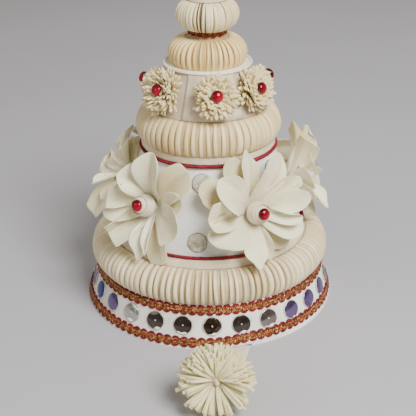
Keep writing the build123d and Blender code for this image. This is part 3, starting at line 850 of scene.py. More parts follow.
def strip_flower(bm, strip, rows, reach, core, rng, spread, curl, twisting, bare_below=0.0):
    """Stamp rows of strips round the Z axis, each a little out of line."""
    for row, (angle, count, share) in enumerate(rows):
        for index in range(count):
            turn = 360.0 * (index + row * 0.5 + rng.uniform(-0.25, 0.25)) / count
            lean = angle + rng.uniform(-spread, spread)
            below = -math.sin(math.radians(turn))
            if below > 0.05 and (lean < bare_below or (bare_below and index % 5 > 1)):
                continue
            length = reach * share * rng.uniform(0.88, 1.05) - core * 0.5
            rise = rng.uniform(*curl) * smooth_step((lean - 18) / 45)
            twist = math.radians(rng.uniform(-twisting, twisting))
            side = rng.uniform(-0.08, 0.08)
            wide = rng.uniform(0.8, 1.15)
            if bare_below and below < 0.05:
                wide *= 0.66
                length *= 1 + 0.14 * below
                droop = 0.42 + 0.30 * smooth_step((60 - lean) / 35)
                rise = -droop * rng.uniform(0.7, 1.0) * smooth_step((125 - lean) / 55)

            def bend(point):
                u = point.x
                angle_here = twist * u
                y = point.y * wide
                return Vector(
                    (
                        length * (u - abs(rise) * 0.15 * u**3),
                        y * math.cos(angle_here) - point.z * math.sin(angle_here) + side * length * u * u,
                        y * math.sin(angle_here) + point.z * math.cos(angle_here) + rise * length * u * u,
                    )
                )

            place = turned(turn, "Z") @ turned(lean - 90.0, "Y") @ moved(core * 0.5, 0, 0)
            stamp(bm, strip, place, bend, tone=rng.random())


def pompom_matrix():
    axis = Vector((0.0, -math.cos(POMPOM_RISE), math.sin(POMPOM_RISE)))
    right = Vector((1.0, 0.0, 0.0))
    made = Matrix((right, axis.cross(right), axis)).transposed().to_4x4()
    made.translation = POMPOM_CENTRE
    return made


class HEADDRESS_OT_pompom(bpy.types.Operator):
    """Make the loose pompom and the flat strap that ties it on"""

    bl_idname = "headdress.pompom"
    bl_label = "Pompom and strap"

    def execute(self, context):
        rng = random.Random(11)
        size = sizes()
        bm = new_bmesh("uv", "tone")
        strip = pompom_strip(size.pompom_strip_width, 0.45 * MM)
        strip_flower(bm, strip, POMPOM_ROWS, size.pompom_radius, 3.0 * MM, rng, 4.0, (-0.08, 0.0), 14.0, 62.0)
        bmesh.ops.create_uvsphere(bm, u_segments=16, v_segments=10, radius=3.4 * MM)
        knot = moved(0.4 * MM, -2.2 * MM, 4.6 * MM)
        bmesh.ops.create_uvsphere(bm, u_segments=10, v_segments=6, radius=1.8 * MM, matrix=knot)
        bmesh.ops.transform(bm, matrix=pompom_matrix(), verts=bm.verts[:])
        for vert in bm.verts:
            vert.co.z = max(vert.co.z, 0.3 * MM)
        # The strips' roots and the core spheres take the root shade colour: painted shade inside the pompom.
        pith = pith_finish(
            "pompom pith", (0.97, 0.89, 0.48), (0.90, 0.79, 0.40), (3.0, 40.0, 1.0), tone_share=0.14,
            root_shade_colour=(0.66, 0.55, 0.32),
        )
        pompom = add_piece("pompom_strips", bm, [pith], ["pompom"])

        points = strap_points()
        curve = bpy.data.curves.new("strap line", "CURVE")
        curve.dimensions = "3D"
        curve.resolution_u = 12
        spline = curve.splines.new("NURBS")
        spline.points.add(len(points) - 1)
        for point, co in zip(spline.points, points):
            point.co = (*co, 1.0)
        spline.order_u = 3
        spline.use_endpoint_u = True
        line = bpy.data.objects.new("strap line", curve)
        context.scene.collection.objects.link(line)
        context.view_layer.update()
        path_mesh = bpy.data.meshes.new_from_object(line)
        path = [vert.co.copy() for vert in path_mesh.vertices]
        bpy.data.objects.remove(line)
        length = sum((b - a).length for a, b in zip(path, path[1:]))

        sideways = strap_frame()[1].cross(Vector((0, 0, 1)))
        bm = sheet_grid(len(path) - 1, 4)
        for vert in bm.verts:
            place = path[round(vert.co.x * (len(path) - 1))]
            vert.co = place + sideways * (vert.co.y * STRAP_WIDTH / 2) + Vector((0, 0, STRAP_THICKNESS / 2))
        outward(bm)
        bmesh.ops.solidify(bm, geom=bm.faces[:], thickness=STRAP_THICKNESS)
        strap = add_piece("strap", bm, [cloth_finish()], ["pompom_strap"])
        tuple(path[0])
        return {"FINISHED"}


class HEADDRESS_OT_papers(bpy.types.Operator):
    """Finish the band, the drums, the strips, the collar and the finial"""

    bl_idname = "headdress.papers"
    bl_label = "Papers and plain pith"

    def execute(self, context):
        choice = colours()
        band = paper_finish("band paper", choice.band_paper, 0.70, 0.0, (0.66, 0.63, 0.54), 0.35, 0.6)
        drum = paper_finish("drum paper", choice.drum_paper, 0.32, 0.35, (0.72, 0.70, 0.66), 0.25, 0.1)
        strip = pith_finish(
            "pith strip", (0.84, 0.72, 0.52), (0.70, 0.57, 0.39), (60.0, 60.0, 500.0), tone_share=0.0,
            on_uv=False,
        )
        # The small drum is white, but is coloured a darker brown-beige: painted shade among the tufts and
        # rings.
        small = pith_finish(
            "small drum pith", (0.60, 0.50, 0.36), (0.44, 0.35, 0.24), (60.0, 60.0, 300.0), tone_share=0.0,
            on_uv=False,
        )
        # The panel's brown-beige is painted shade as well, a little lighter than the drum's.
        panel = pith_finish(
            "drum panel pith", (0.66, 0.55, 0.40), (0.48, 0.38, 0.26), (60.0, 60.0, 300.0), tone_share=0.0,
            on_uv=False,
        )
        dress("base_band", band)
        dress("drum", drum)
        for node in ("lower_strip", "upper_strip", "collar", "finial"):
            dress(node, strip)
        white = pith_finish(
            "white pith sheet", (0.90, 0.84, 0.68), (0.78, 0.69, 0.52), (60.0, 60.0, 300.0), tone_share=0.0,
            on_uv=False,
        )
        bm = new_bmesh("uv")
        bmesh.ops.create_cone(
            bm, cap_ends=True, segments=64, radius1=LID_RADIUS, radius2=LID_RADIUS, depth=LID_THICKNESS,
            matrix=moved(0, 0, LID_BASE + LID_THICKNESS / 2),
        )
        spin_round(bm, round_section(bm, LID_RADIUS, LID_ROLL, 10, LID_BASE + LID_ROLL), 64)
        outward(bm)
        add_piece("small_drum_lid_sheet", bm, [white], ["small_drum_lid"])
        dress("small_drum", small)
        start, end = (math.radians(angle) for angle in PANEL_TURNS)
        bm = sheet_grid(24, 8)
        for vert in bm.verts:
            angle = start + (end - start) * vert.co.x
            share = (vert.co.y + 1) / 2
            radius = tapered(SMALL_DRUM_BOTTOM_RADIUS, SMALL_DRUM_TOP_RADIUS, share)
            radius += (0.15 + 0.5 * max(0.0, 1 - 14 * min(vert.co.x, 1 - vert.co.x))) * MM
            height = SMALL_DRUM_BASE + SMALL_DRUM_HEIGHT * share
            vert.co = Vector((radius * math.sin(angle), -radius * math.cos(angle), height))
        outward(bm)
        thicken(bm, -PANEL_THICKNESS)
        add_piece("small_drum_panel", bm, [panel])
        return {"FINISHED"}


def ring_profile(low, high, low_radius, high_radius, bulge):
    """A round arc from one seam to the other, as a function of the share of the way up."""
    half = math.hypot(high - low, low_radius - high_radius) / 2
    out = Vector(((high - low) / 2 / half, (low_radius - high_radius) / 2 / half))
    up = Vector((-out.y, out.x))
    radius = (half * half + bulge * bulge) / (2 * bulge)
    centre = Vector(((low_radius + high_radius) / 2, (low + high) / 2)) - out * (radius - bulge)
    reach = math.asin(min(1.0, half / radius))
    if bulge > half:
        reach = math.pi - reach

    def at(share, inset=0.0):
        angle = reach * (2 * share - 1)
        return centre + (out * math.cos(angle) + up * math.sin(angle)) * (radius - inset)

    return at


def fin_template():
    """A closed strip of unit size: X up the ring, Y from its root to its crest, Z across it."""
    bm = sheet_grid(FIN_STEPS, 3, ("tone", "depth"))
    layer = bm.verts.layers.float["depth"]
    for vert in bm.verts:
        vert.co.y = FIN_LEVELS[round((vert.co.y + 1) / 2 * 3)]
        vert[layer] = vert.co.y
    bmesh.ops.solidify(bm, geom=bm.faces[:], thickness=1.0)
    middle = sum(vert.co.z for vert in bm.verts) / len(bm.verts)
    bmesh.ops.translate(bm, vec=(0, 0, -middle), verts=bm.verts[:])
    outward(bm)
    return template(bm)


def pleated_ring(index, rng, material):
    """One ring of upright pith fins over a curved floor."""
    node, *measures, count, packed, loose, loose_turn, loose_spread = PLEATED_RINGS[index]
    low, high, low_radius, high_radius, bulge = (value * MM for value in measures)
    at = ring_profile(low, high, low_radius, high_radius, bulge)
    depth = bulge * 0.32
    pitch = 2 * math.pi * ((low_radius + high_radius) / 2 + bulge) / count
    spread = sizes().fin_spread * min(1.0, pitch / (4.5 * MM))
    fin = fin_template()
    bm = new_bmesh("tone", "depth")
    phase = rng.uniform(0, 6.28)
    for number in range(count):
        turn = 360.0 * (number + rng.uniform(-0.08, 0.08)) / count
        away = ((turn - loose_turn + 180) % 360 - 180) / loose_spread
        openness = math.exp(-away * away)
        full = packed + (loose - packed) * openness + rng.uniform(-0.05, 0.05)
        crest = 0.84 - 0.38 * openness
        widths = (1.0, 1.0, (1 + crest) / 2, crest)
        half = pitch * full / 2
        stray = (rng.gauss(0.0, 0.8) * (0.35 + 0.65 * openness)) * spread
        wave = 0.9 * MM * math.sin(math.radians(5 * turn) + phase) * min(1.0, low_radius / (60 * MM))
        proud = rng.uniform(-0.35, 0.25) * MM * (0.4 + 0.6 * openness)
        slant = rng.gauss(0.0, 0.3) * MM

        def bend(point):
            share = point.x
            belly = math.sin(math.pi * share)
            r, z = at(share, depth * (1 - point.y) * (0.25 + 0.75 * belly) - proud * point.y * belly)
            level = min(range(4), key=lambda step: abs(FIN_LEVELS[step] - point.y))
            narrow = r / (low_radius + bulge)
            side = (stray + wave) * belly * point.y + slant * (2 * share - 1) * point.y
            return Vector((r, side + 2 * point.z * half * widths[level] * narrow, z))

        stamp(bm, fin, Matrix.Rotation(math.radians(turn - 90), 4, "Z"), bend, tone=rng.random())
    inner = high_radius - NECK_INSET
    neck_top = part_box(node)[1].z
    profile = [(inner, neck_top), (inner, high)] if neck_top > high + MM else [(inner, high)]
    for step in range(FLOOR_STEPS, -1, -1):
        share = step / FLOOR_STEPS
        profile.append(at(share, depth * 0.82 * math.sin(math.pi * share) + 0.1 * MM))
    floor = new_bmesh("tone", "depth")
    spin_profile(floor, profile, FLOOR_SIDES)
    outward(floor)
    # The floor keeps depth 0, so it takes the fold colour: painted shade behind the fins.
    stamp(bm, template(floor), Matrix.Identity(4), tone=0.5)
    return add_piece(f"pleats_{index + 1}", bm, [material], [node])


class HEADDRESS_OT_pleats(bpy.types.Operator):
    """Make the four pleated rings of pith fins"""

    bl_idname = "headdress.pleats"
    bl_label = "Pleated rings"

    def execute(self, context):
        rng = random.Random(5)
        light = colours().pleats
        # Each finish's second colour is the painted shade in its folds; the pale ring's is near black, painted
        # shade in its gaps.
        cream = pleat_finish("cream pleats", light, (0.60, 0.48, 0.29))
        deep = pleat_finish("deep cream pleats", (0.96, 0.79, 0.44), (0.62, 0.47, 0.24))
        warm = pleat_finish("warm pleats", (0.96, 0.73, 0.33), (0.62, 0.43, 0.18))
        pale = pleat_finish("pale pleats", (0.95, 0.83, 0.52), (0.16, 0.10, 0.05))
        for index, material in enumerate((cream, deep, warm, pale)):
            pleated_ring(index, rng, material)
        return {"FINISHED"}


def band_point(angle, height, out):
    """A point beside the base band's cone."""
    radius = tapered(RIM_RADIUS, BAND_TOP_RADIUS, height / BAND_HEIGHT) + out / math.cos(BAND_LEAN)
    return Vector((radius * math.sin(angle), -radius * math.cos(angle), height))


def stitch_template():
    """One raised stitch of metal thread, along X."""
    bm = new_bmesh("tone")
    bmesh.ops.create_uvsphere(bm, u_segments=6, v_segments=4, radius=1.0, matrix=turned(90, "Y"))
    bmesh.ops.scale(bm, vec=(1.35 * MM, 0.66 * MM, 0.55 * MM), verts=bm.verts[:])
    return template(bm)


def scallop_template():
    """One scallop of red thread: two nested arches in the XY plane."""
    bm = new_bmesh("tone")
    for radius, thread, steps in ((2.45, 0.72, 8), (1.15, 0.78, 6)):
        spin_round(bm, round_section(bm, radius * MM, thread * MM, 6), steps, 180.0)
    bmesh.ops.remove_doubles(bm, verts=bm.verts[:], dist=1e-7)
    bmesh.ops.holes_fill(bm, edges=bm.edges[:], sides=8)
    outward(bm)
    bmesh.ops.scale(bm, vec=(1.0, 0.64, 0.8), verts=bm.verts[:])
    return template(bm)


def wrapped_braid(name, node, base, width, point, radius, materials, rng, rows):
    """A braid wrapped round the headdress: a backing, rows of gold stitches and red scallops."""
    circumference = 2 * math.pi * radius
    bm = new_bmesh("tone")
    backing = sheet_grid(180, 3, ("tone",))
    for vert in backing.verts:
        angle = 2 * math.pi * vert.co.x
        vert.co = point(angle, base + width * (0.5 + 0.36 * vert.co.y), 0.25 * MM)
    bmesh.ops.remove_doubles(backing, verts=backing.verts[:], dist=1e-6)
    outward(backing)
    stamp(bm, template(backing), Matrix.Identity(4), tone=0.2, material=0)
    stitch = stitch_template()
    count = round(circumference / sizes().stitch_pitch)
    for row, (height, tilt) in enumerate(rows):
        spin = turned(tilt, "Z")
        for index in range(count):
            along = (index + 0.5 * (row % 2) + rng.uniform(-0.1, 0.1)) / count
            lift = rng.uniform(-0.08, 0.1) * MM

            def bend(co):
                turned_co = spin @ co
                angle = 2 * math.pi * (along + turned_co.x / circumference)
                return point(angle, base + width * height + turned_co.y, 0.62 * MM + lift + turned_co.z)

            stamp(bm, stitch, Matrix.Identity(4), bend, tone=rng.random(), material=0)
    scallop = scallop_template()
    count = round(circumference / sizes().scallop_pitch)
    for edge, side in ((0.80, 1.0), (0.20, -1.0)):
        for index in range(count):
            along = (index + rng.uniform(-0.05, 0.05)) / count

            def bend(co):
                angle = 2 * math.pi * (along + co.x / circumference)
                return point(angle, base + width * edge + side * co.y, 0.50 * MM + side * co.z)

            stamp(bm, scallop, Matrix.Identity(4), bend, tone=rng.random(), material=1)
    return add_piece(name, bm, materials, [node])


class HEADDRESS_OT_braids(bpy.types.Operator):
    """Make the gold braids with red scalloped edges"""

    bl_idname = "headdress.braids"
    bl_label = "Braids"

    def execute(self, context):
        rng = random.Random(23)
        threads = [gold_finish(), red_thread_finish("red scallop thread", colours().red_thread)]
        low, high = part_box("lower_braid")

        def wandering(angle, height, out):
            angle = (angle + math.pi) % (2 * math.pi) - math.pi
            over_strap = 0.5 * math.exp(-((angle - STRAP_ROOT_TURN) / 0.11) ** 2)
            climb = 2.4 * smooth_step((angle + 0.05) / 0.45) * (1 - smooth_step((angle - 1.6) / 1.2))
            drop = 1.0 - climb - over_strap + 0.15 * math.sin(7 * angle)
            return band_point(angle, max(height - drop * MM, 0.1 * MM), out)

        wrapped_braid(
            "braid_lower", "lower_braid", low.z, high.z - low.z, wandering, LOWER_BRAID_RADIUS, threads, rng,
            BAND_BRAID_ROWS,
        )
        low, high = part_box("upper_braid")
        wrapped_braid(
            "braid_upper", "upper_braid", low.z + 0.5 * MM, high.z - low.z, band_point,
            UPPER_BRAID_RADIUS, threads, rng, BAND_BRAID_ROWS,
        )
        low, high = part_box("neck_braid")
        neck = high.x - 2.0 * MM

        def neck_point(angle, height, out):
            radius = neck + out
            return Vector((radius * math.sin(angle), -radius * math.cos(angle), height))

        wrapped_braid(
            "braid_neck", "neck_braid", low.z - 0.9 * MM, high.z - low.z, neck_point, high.x, threads, rng,
            NECK_BRAID_ROWS,
        )
        return {"FINISHED"}


def mirror_disc(radius, rng, corners=0):
    """A hand-cut round of mirror glass, standing on the XY plane."""
    bm = new_bmesh("tone")
    made = bmesh.ops.create_circle(bm, cap_ends=True, segments=26, radius=radius)
    for vert in made["verts"]:
        angle = math.atan2(vert.co.y, vert.co.x)
        share = 1 + 0.012 * math.sin(3 * angle + rng.uniform(-0.3, 0.3)) + rng.uniform(-0.012, 0.008)
        if corners:
            step = 2 * math.pi / corners
            share = min(share, 1.029 * math.cos(step / 2) / math.cos(angle % step - step / 2))
        vert.co *= share
    made = bmesh.ops.extrude_face_region(bm, geom=bm.faces[:])
    top = [item for item in made["geom"] if isinstance(item, bmesh.types.BMVert)]
    bmesh.ops.translate(bm, vec=(0, 0, MIRROR_THICKNESS), verts=top)
    rim = [edge for edge in bm.edges if all(vert in top for vert in edge.verts)]
    bmesh.ops.bevel(
        bm, geom=rim, offset=0.35 * MM, offset_type="OFFSET", segments=2, profile=0.5, affect="EDGES",
        material=-1,
    )
    outward(bm)
    return template(bm)


def glue_bead(radius, thickness, height, sweep, rng):
    """A crescent of dried glue round the lower edge of a mirror, on the XY plane, or a whole ring of it."""
    bm = new_bmesh("tone")
    section = round_section(bm, radius, thickness, 6)
    whole = sweep >= 360.0
    start = -90.0 - sweep / 2
    bmesh.ops.rotate(bm, verts=bm.verts[:], cent=(0, 0, 0), matrix=turned(start, "Z"))
    spin_round(bm, section, 28 if whole else 14, sweep)
    bmesh.ops.remove_doubles(bm, verts=bm.verts[:], dist=1e-7)
    phase = rng.uniform(0, 6)
    for vert in bm.verts:
        share = (math.degrees(math.atan2(vert.co.y, vert.co.x)) - start) % 360 / sweep
        fade = 1.0 if whole else max(0.0, math.sin(math.pi * min(1.0, share)))
        lumps = 0.85 + 0.25 * math.sin(9 * share * sweep / 90 + phase)
        swell = 0.15 + 0.85 * fade * lumps
        direction = vert.co.xy.normalized()
        where = radius + (vert.co.xy.length - radius) * swell
        high = max(0.05 * MM, height * vert.co.z / thickness * swell)
        vert.co = Vector((direction.x * where, direction.y * where, high))
    if not whole:
        bmesh.ops.holes_fill(bm, edges=bm.edges[:], sides=8)
    outward(bm)
    return template(bm)


class HEADDRESS_OT_mirrors(bpy.types.Operator):
    """Make the mirrors of the base band and of the main drum"""

    bl_idname = "headdress.mirrors"
    bl_label = "Mirrors"

    def execute(self, context):
        rng = random.Random(3)
        materials = [mirror_finish(), glue_finish()]
        bm = new_bmesh("tone")
        radius = tapered(RIM_RADIUS, BAND_TOP_RADIUS, BAND_MIRROR_HEIGHT / BAND_HEIGHT)
        # A small white glossy blob for the middle of each front mirror: a painted highlight.
        highlight_blob = new_bmesh("tone")
        bmesh.ops.create_uvsphere(highlight_blob, u_segments=8, v_segments=5, radius=0.6 * MM)
        bmesh.ops.scale(highlight_blob, vec=(1, 1, 0.4), verts=highlight_blob.verts[:])
        dot = template(highlight_blob)
        for index in range(BAND_MIRROR_COUNT):
            turn = 1.0 + 360.0 * index / BAND_MIRROR_COUNT
            place = seat(turn, radius, BAND_MIRROR_HEIGHT, BAND_LEAN) @ moved(0, 0, MIRROR_GAP)
            disc = mirror_disc(BAND_MIRROR_RADIUS, rng, 6 if index == 0 else 0)
            # Each band mirror's tone picks its painted reflection.
            tone = BAND_MIRROR_REFLECTION_TONES.get(index, rng.choice((0.05, 0.3, 0.6, 0.72)))
            stamp(bm, disc, place @ turned(rng.uniform(0, 360), "Z"), tone=tone, material=0)
            front = index in (0, 1, 2, 24, 25, 26)
            edge = glue_bead(7.35 * MM, 0.55 * MM, 0.9 * MM, 360.0, rng)
            stamp(bm, edge, place, tone=0.45 if front else 0.7, material=1)
            crescent = glue_bead(6.5 * MM, 1.6 * MM, (2.0 if front else 1.2) * MM, rng.uniform(80, 125), rng)
            stamp(bm, crescent, place @ turned(rng.uniform(-22, 22), "Z"), tone=1.0, material=1)
            # The front mirrors get the painted highlight blob.
            if front:
                stamp(bm, dot, place @ moved(0, 0, MIRROR_THICKNESS), tone=1.0, material=1)
            # Mirror 24 gets a dark glue ring inside its edge: a painted ring reflection.
            if index == 24:
                stamp(bm, glue_bead(4.3 * MM, 0.4 * MM, 1.3 * MM, 360.0, rng), place, tone=0.2, material=1)
        add_piece("mirrors_band", bm, materials, ["band_mirrors"])

        bm = new_bmesh("tone")
        turns = [flower[0] for flower in FLOWERS]
        for turn, following in zip(turns, turns[1:] + turns[:1]):
            middle = turn + ((following - turn) % 360) / 2
            for share, aside in DRUM_MIRROR_ROWS:
                height = DRUM_BASE + share * DRUM_CONE_HEIGHT
                radius = tapered(DRUM_BOTTOM_RADIUS, DRUM_NECK_RADIUS, share)
                place = seat(middle + aside, radius, height, DRUM_LEAN) @ moved(0, 0, MIRROR_GAP)
                stamp(bm, mirror_disc(DRUM_MIRROR_RADIUS, rng), place, tone=rng.random(), material=0)
                stamp(bm, glue_bead(7.3 * MM, 0.5 * MM, 1.0 * MM, 360.0, rng), place, tone=0.05, material=1)
                crescent = glue_bead(6.6 * MM, 0.8 * MM, 1.5 * MM, 170.0, rng)
                stamp(bm, crescent, place @ turned(rng.uniform(-40, 40), "Z"), tone=0.9, material=1)
        add_piece("mirrors_drum", bm, [painted_reflection_mirror_finish(), materials[1]], ["drum_mirrors"])
        return {"FINISHED"}


def ribbed_cord(name, node, ribs, material):
    """A round red cord tied in a ring, with fine twisted ribs."""
    low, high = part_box(node)
    radius = (high.z - low.z) / 2
    ring = high.x - radius
    middle = (low.z + high.z) / 2
    bm = bmesh.new()
    spin_round(bm, round_section(bm, ring, radius, 8, middle), ribs * 4)
    for vert in bm.verts:
        angle = math.atan2(vert.co.y, vert.co.x)
        out = Vector((math.cos(angle), math.sin(angle), 0.0))
        centre = out * ring + Vector((0, 0, middle))
        offset = vert.co - centre
        way = math.atan2(offset.z, offset.dot(out))
        vert.co = centre + offset * (0.84 + 0.16 * math.cos(ribs * angle + way))
    outward(bm)
    return add_piece(name, bm, [material], [node])


class HEADDRESS_OT_cords(bpy.types.Operator):
    """Make the two red cords round the main drum"""

    bl_idname = "headdress.cords"
    bl_label = "Red cords"

    def execute(self, context):
        material = red_thread_finish("red cord thread", (0.21, 0.002, 0.012))
        ribs = sizes().cord_ribs
        ribbed_cord("cord_lower", "lower_cord", ribs, material)
        ribbed_cord("cord_upper", "upper_cord", round(ribs * 0.7), material)
        return {"FINISHED"}


def petal(reach, breadth, cup, shape, fold, side, rng, thickness):
    """A broad cupped petal along X, with wavy edges, its own kind of tip and its own fold."""
    end, corner = PETAL_TIPS[shape]
    bm = sheet_grid(16, 14, ("uv", "tone", "crease_shade"))
    layer = bm.verts.layers.float["crease_shade"]
    wave = sizes().petal_wave
    phase = rng.uniform(0, 6.28)
    swell = rng.uniform(0.5, 1.0) * MM * min(1.0, breadth / (16 * MM))
    swells = rng.choice((1.0, 1.4, 1.8))
    curl = rng.uniform(-0.04, 0.09)
    skew = rng.uniform(-0.05, 0.05)
    if fold == "spoon":
        cup *= 1.4
        curl = 0.16
    cup_radius = breadth / cup / 2
    for vert in bm.verts:
        u = vert.co.x
        s = vert.co.y
        if u < PETAL_WIDEST:
            share = 0.38 + 0.62 * smooth_step(u / PETAL_WIDEST) ** 0.8
        else:
            share = 1 - (1 - end) * ((u - PETAL_WIDEST) / (1 - PETAL_WIDEST)) ** 2
        half = breadth / 2 * share
        y = half * s
        x = reach * (u - corner * abs(s) ** 2.4 * u**6)
        rise = smooth_step(u * 1.4)
        z = 0.22 * u * (1 - u) * reach
        z += cup_radius - math.sqrt(max(0.0, cup_radius**2 - y**2))
        z += wave * abs(s) ** 3 * u * math.sin(phase + 5.0 * u + 1.4 * (s > 0))
        z += swell * math.cos(math.pi * s * swells + phase) * math.sin(math.pi * min(1.0, u * 1.1))
        z += curl * reach * u**4
        # This mark sets where shade is painted: along a valley fold, under a rolled edge and deep in a spoon's
        # hollow.
        crease_shade = 0.0
        if fold == "rolled" and s * side > 0.20:
            radius = 0.13 * breadth / (0.12 + 0.88 * rise)
            angle = (s * side - 0.20) * half / radius
            y = side * (0.20 * half + radius * math.sin(angle))
            z += radius * (1 - math.cos(angle))
            crease_shade = rise * math.exp(-((s * side - 0.30) / 0.12) ** 2)
        elif fold in ("valley", "ridge"):
            away = math.sqrt((s - side) ** 2 + 0.004) * half
            z += (0.75 if fold == "valley" else -0.60) * away * rise * (1 - 0.5 * u**3)
            if fold == "valley":
                crease_shade = rise * (1 - 0.6 * u**4) * math.exp(-((s - side) / 0.14) ** 2)
        elif fold == "spoon":
            crease_shade = 0.5 * (1 - u) ** 1.5 * (1 - 0.5 * s * s) * smooth_step(u * 3)
        vert[layer] = crease_shade
        vert.co = Vector((x, y + skew * reach * u * u, z))
    thicken(bm, thickness)
    return template(bm)


def bud_mesh(rng):
    """A rolled cone of pith: a rounded core and a sheet wrapped round it."""
    bm = new_bmesh("uv", "tone")
    profile = ((8.2, 0.0), (7.9, 3.0), (7.2, 6.0), (6.2, 8.6), (5.0, 10.1), (3.4, 10.4), (0.0, 10.4))
    spin_profile(bm, [(radius * MM, height * MM) for radius, height in profile], 28)
    bmesh.ops.remove_doubles(bm, verts=bm.verts[:], dist=1e-7)
    outward(bm)
    wrap = sheet_grid(30, 6, ("uv", "tone"))
    start = rng.uniform(0, 6.28)
    for vert in wrap.verts:
        angle = start + 5.4 * vert.co.x
        climb = (vert.co.y + 1) / 2
        height = climb * (9.6 - 2.2 * vert.co.x) * MM
        radius = (8.5 + 0.9 * (1 - vert.co.x) ** 2 - 2.4 * (height / BUD_HEIGHT) ** 1.8) * MM
        vert.co = Vector((radius * math.cos(angle), radius * math.sin(angle), height))
    thicken(wrap, 0.5 * MM)
    stamp(bm, template(wrap), Matrix.Identity(4), tone=0.8)
    return template(bm)


def gem_mesh(diameter, height):
    """A domed stone on the XY plane, lit through at its lower right."""
    bm = new_bmesh("tone")
    bmesh.ops.create_uvsphere(bm, u_segments=20, v_segments=12, radius=1.0)
    cut = bmesh.ops.bisect_plane(
        bm, geom=bm.verts[:] + bm.edges[:] + bm.faces[:], plane_co=(0, 0, -DOME_CUT), plane_no=(0, 0, -1),
        clear_outer=True,
    )
    rim = [item for item in cut["geom_cut"] if isinstance(item, bmesh.types.BMEdge)]
    bmesh.ops.edgeloop_fill(bm, edges=rim)
    layer = bm.verts.layers.float["tone"]
    for vert in bm.verts:
        glow = 0.5 + 0.5 * (vert.co.x * 0.5 - vert.co.y * 0.75)
        vert[layer] = min(1.0, max(0.0, glow * 1.15 - 0.25 * (1 - vert.co.z)))
        vert.co.z = (vert.co.z + DOME_CUT) / (1 + DOME_CUT) * height
        vert.co.x *= diameter / 2
        vert.co.y *= diameter / 2
    outward(bm)
    return template(bm)


class HEADDRESS_OT_flowers(bpy.types.Operator):
    """Make the large flowers: petals, buds and stones"""

    bl_idname = "headdress.flowers"
    bl_label = "Large flowers"

    def execute(self, context):
        choice = colours()
        # Petal roots and the hub take the root shade colour: painted shade at the flower's middle.
        petals = pith_finish(
            "petal pith", choice.pith, (0.86, 0.78, 0.50), (7.0, 46.0, 1.0), tone_share=0.22, patch_scale=24.0,
            root_shade_colour=(0.62, 0.54, 0.38), crease_shade_colour=(0.50, 0.41, 0.25),
        )
        bud_pith = pith_finish(
            "bud pith", (0.88, 0.82, 0.64), (0.76, 0.66, 0.47), (30.0, 4.0, 1.0), tone_share=0.10,
        )
        stone = gem_finish()
        radius = tapered(DRUM_BOTTOM_RADIUS, DRUM_NECK_RADIUS, FLOWER_SHARE)
        gem = gem_mesh(9.4 * MM, 3.9 * MM)
        for number, (turn, kind, own_turn, aside) in enumerate(FLOWERS, start=1):
            rng = random.Random(100 + number)
            middle = seat(turn, radius, FLOWER_HEIGHT, DRUM_LEAN) @ moved(0, 0, SEAT_GAP)
            bm = new_bmesh("uv", "tone", "crease_shade")
            for leaf_turn, reach, breadth, lift, twist, cup, root, tip, fold, side in FLOWER_KINDS[kind]:
                leaf = petal(
                    PETAL_REACH * reach, PETAL_BREADTH * breadth, cup, tip, fold, side, rng,
                    sizes().petal_thickness,
                )
                place = (
                    middle @ turned(-own_turn, "Z") @ moved(0, 0, root * MM) @ turned(90 - leaf_turn, "Z")
                    @ turned(-lift, "Y") @ turned(twist + rng.uniform(-4, 4), "X")
                )
                # Petals rooted lower lie in the layer behind; their lower tone paints the shade there.
                layer_light = min(1.0, max(0.0, (root - 1.0) / 2.8 + rng.uniform(-0.15, 0.15)))
                stamp(bm, leaf, place, tone=layer_light)
            bmesh.ops.create_cone(
                bm, cap_ends=True, segments=18, radius1=5.4 * MM, radius2=7.6 * MM, depth=HUB_HEIGHT,
                matrix=middle @ moved(aside[0] * MM, aside[1] * MM, HUB_HEIGHT / 2),
            )
            piece = add_piece(f"flower_{number}", bm, [petals], [f"petals_{number}"])
            smooth = piece.modifiers.new("smooth", "SUBSURF")
            smooth.levels = 1
            smooth.render_levels = 1
            bud_place = middle @ moved(aside[0] * MM, aside[1] * MM, HUB_HEIGHT + SEAT_GAP)
            bm = new_bmesh("uv", "tone")
            stamp(bm, bud_mesh(rng), bud_place, tone=0.7)
            add_piece(f"flower_bud_{number}", bm, [bud_pith], [f"bud_{number}"])
            bm = new_bmesh("tone")
            stamp(bm, gem, bud_place @ moved(0, 0, BUD_HEIGHT + SEAT_GAP))
            add_piece(f"flower_stone_{number}", bm, [stone], [f"gem_{number}"])
        return {"FINISHED"}


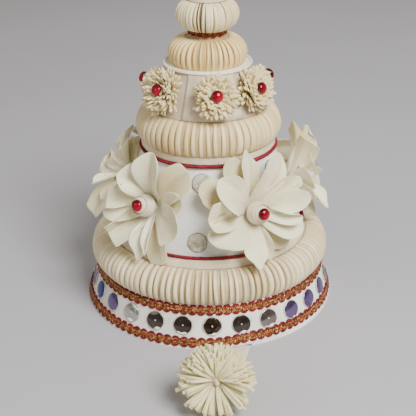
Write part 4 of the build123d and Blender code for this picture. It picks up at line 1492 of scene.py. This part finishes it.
class HEADDRESS_OT_tufts(bpy.types.Operator):
    """Make the tufted flowers of narrow strips, and their stones"""

    bl_idname = "headdress.tufts"
    bl_label = "Tufted flowers"

    def execute(self, context):
        size = sizes()
        # Strip roots and the stem take the root shade colour: painted shade inside the tuft.
        pith = pith_finish(
            "tuft pith", (0.96, 0.82, 0.47), (0.88, 0.72, 0.39), (3.0, 30.0, 1.0), tone_share=0.14,
            root_shade_colour=(0.66, 0.54, 0.34),
        )
        stone = gem_finish()
        gem = gem_mesh(9.2 * MM, 3.7 * MM)
        strip = pompom_strip(size.tuft_strip_width, 1.15 * MM, 0.45)
        for number, (turn, reach, height) in enumerate(TUFTS, start=1):
            rng = random.Random(200 + number)
            carrier = SMALL_DRUM_BOTTOM_RADIUS - height * MM * math.tan(SMALL_DRUM_LEAN)
            place = seat(turn, carrier, SMALL_DRUM_BASE + height * MM, SMALL_DRUM_LEAN)
            middle = place @ moved(0, 0, TUFT_FOOT)
            bm = new_bmesh("uv", "tone")
            strip_flower(bm, strip, TUFT_ROWS, reach * MM, TUFT_CORE, rng, 7.0, (-0.12, 0.36), 45.0)
            stem = TUFT_STONE_RISE - TUFT_FOOT
            bmesh.ops.create_cone(
                bm, cap_ends=True, segments=12, radius1=3.8 * MM, radius2=3.6 * MM, depth=stem,
                matrix=moved(0, 0, stem / 2),
            )
            bmesh.ops.transform(bm, matrix=middle, verts=bm.verts[:])
            add_piece(f"tufted_flower_{number}", bm, [pith], [f"tuft_{number}"])
            bm = new_bmesh("tone")
            stamp(bm, gem, middle @ moved(0, 0, stem + 0.1 * MM))
            add_piece(f"tuft_stone_{number}", bm, [stone], [f"tuft_gem_{number}"])
        return {"FINISHED"}


OPERATORS = (
    HEADDRESS_OT_stage,
    HEADDRESS_OT_pompom,
    HEADDRESS_OT_papers,
    HEADDRESS_OT_pleats,
    HEADDRESS_OT_braids,
    HEADDRESS_OT_mirrors,
    HEADDRESS_OT_cords,
    HEADDRESS_OT_flowers,
    HEADDRESS_OT_tufts,
)


class HEADDRESS_PT_panel(bpy.types.Panel):
    """Lists the headdress's pieces, in the order in which they are made"""

    bl_idname = "HEADDRESS_PT_panel"
    bl_label = "Pith Headdress"
    bl_space_type = "VIEW_3D"
    bl_region_type = "UI"
    bl_category = "Headdress"

    def draw(self, context):
        for operator in OPERATORS:
            self.layout.operator(operator.bl_idname)


CLASSES = (FinishColours, PieceSizes, StageSettings, *OPERATORS, HEADDRESS_PT_panel)


def register():
    for item in CLASSES:
        bpy.utils.register_class(item)
    bpy.types.Scene.headdress_colours = PointerProperty(type=FinishColours)
    bpy.types.Scene.headdress_sizes = PointerProperty(type=PieceSizes)
    bpy.types.Scene.headdress_stage = PointerProperty(type=StageSettings)


def unregister():
    del bpy.types.Scene.headdress_stage
    del bpy.types.Scene.headdress_sizes
    del bpy.types.Scene.headdress_colours
    for item in reversed(CLASSES):
        bpy.utils.unregister_class(item)


def main():
    """Make the whole headdress."""
    register()
    for operator in OPERATORS:
        group, name = operator.bl_idname.split(".")
        getattr(getattr(bpy.ops, group), name)()


if __name__ == "__main__":
    main()
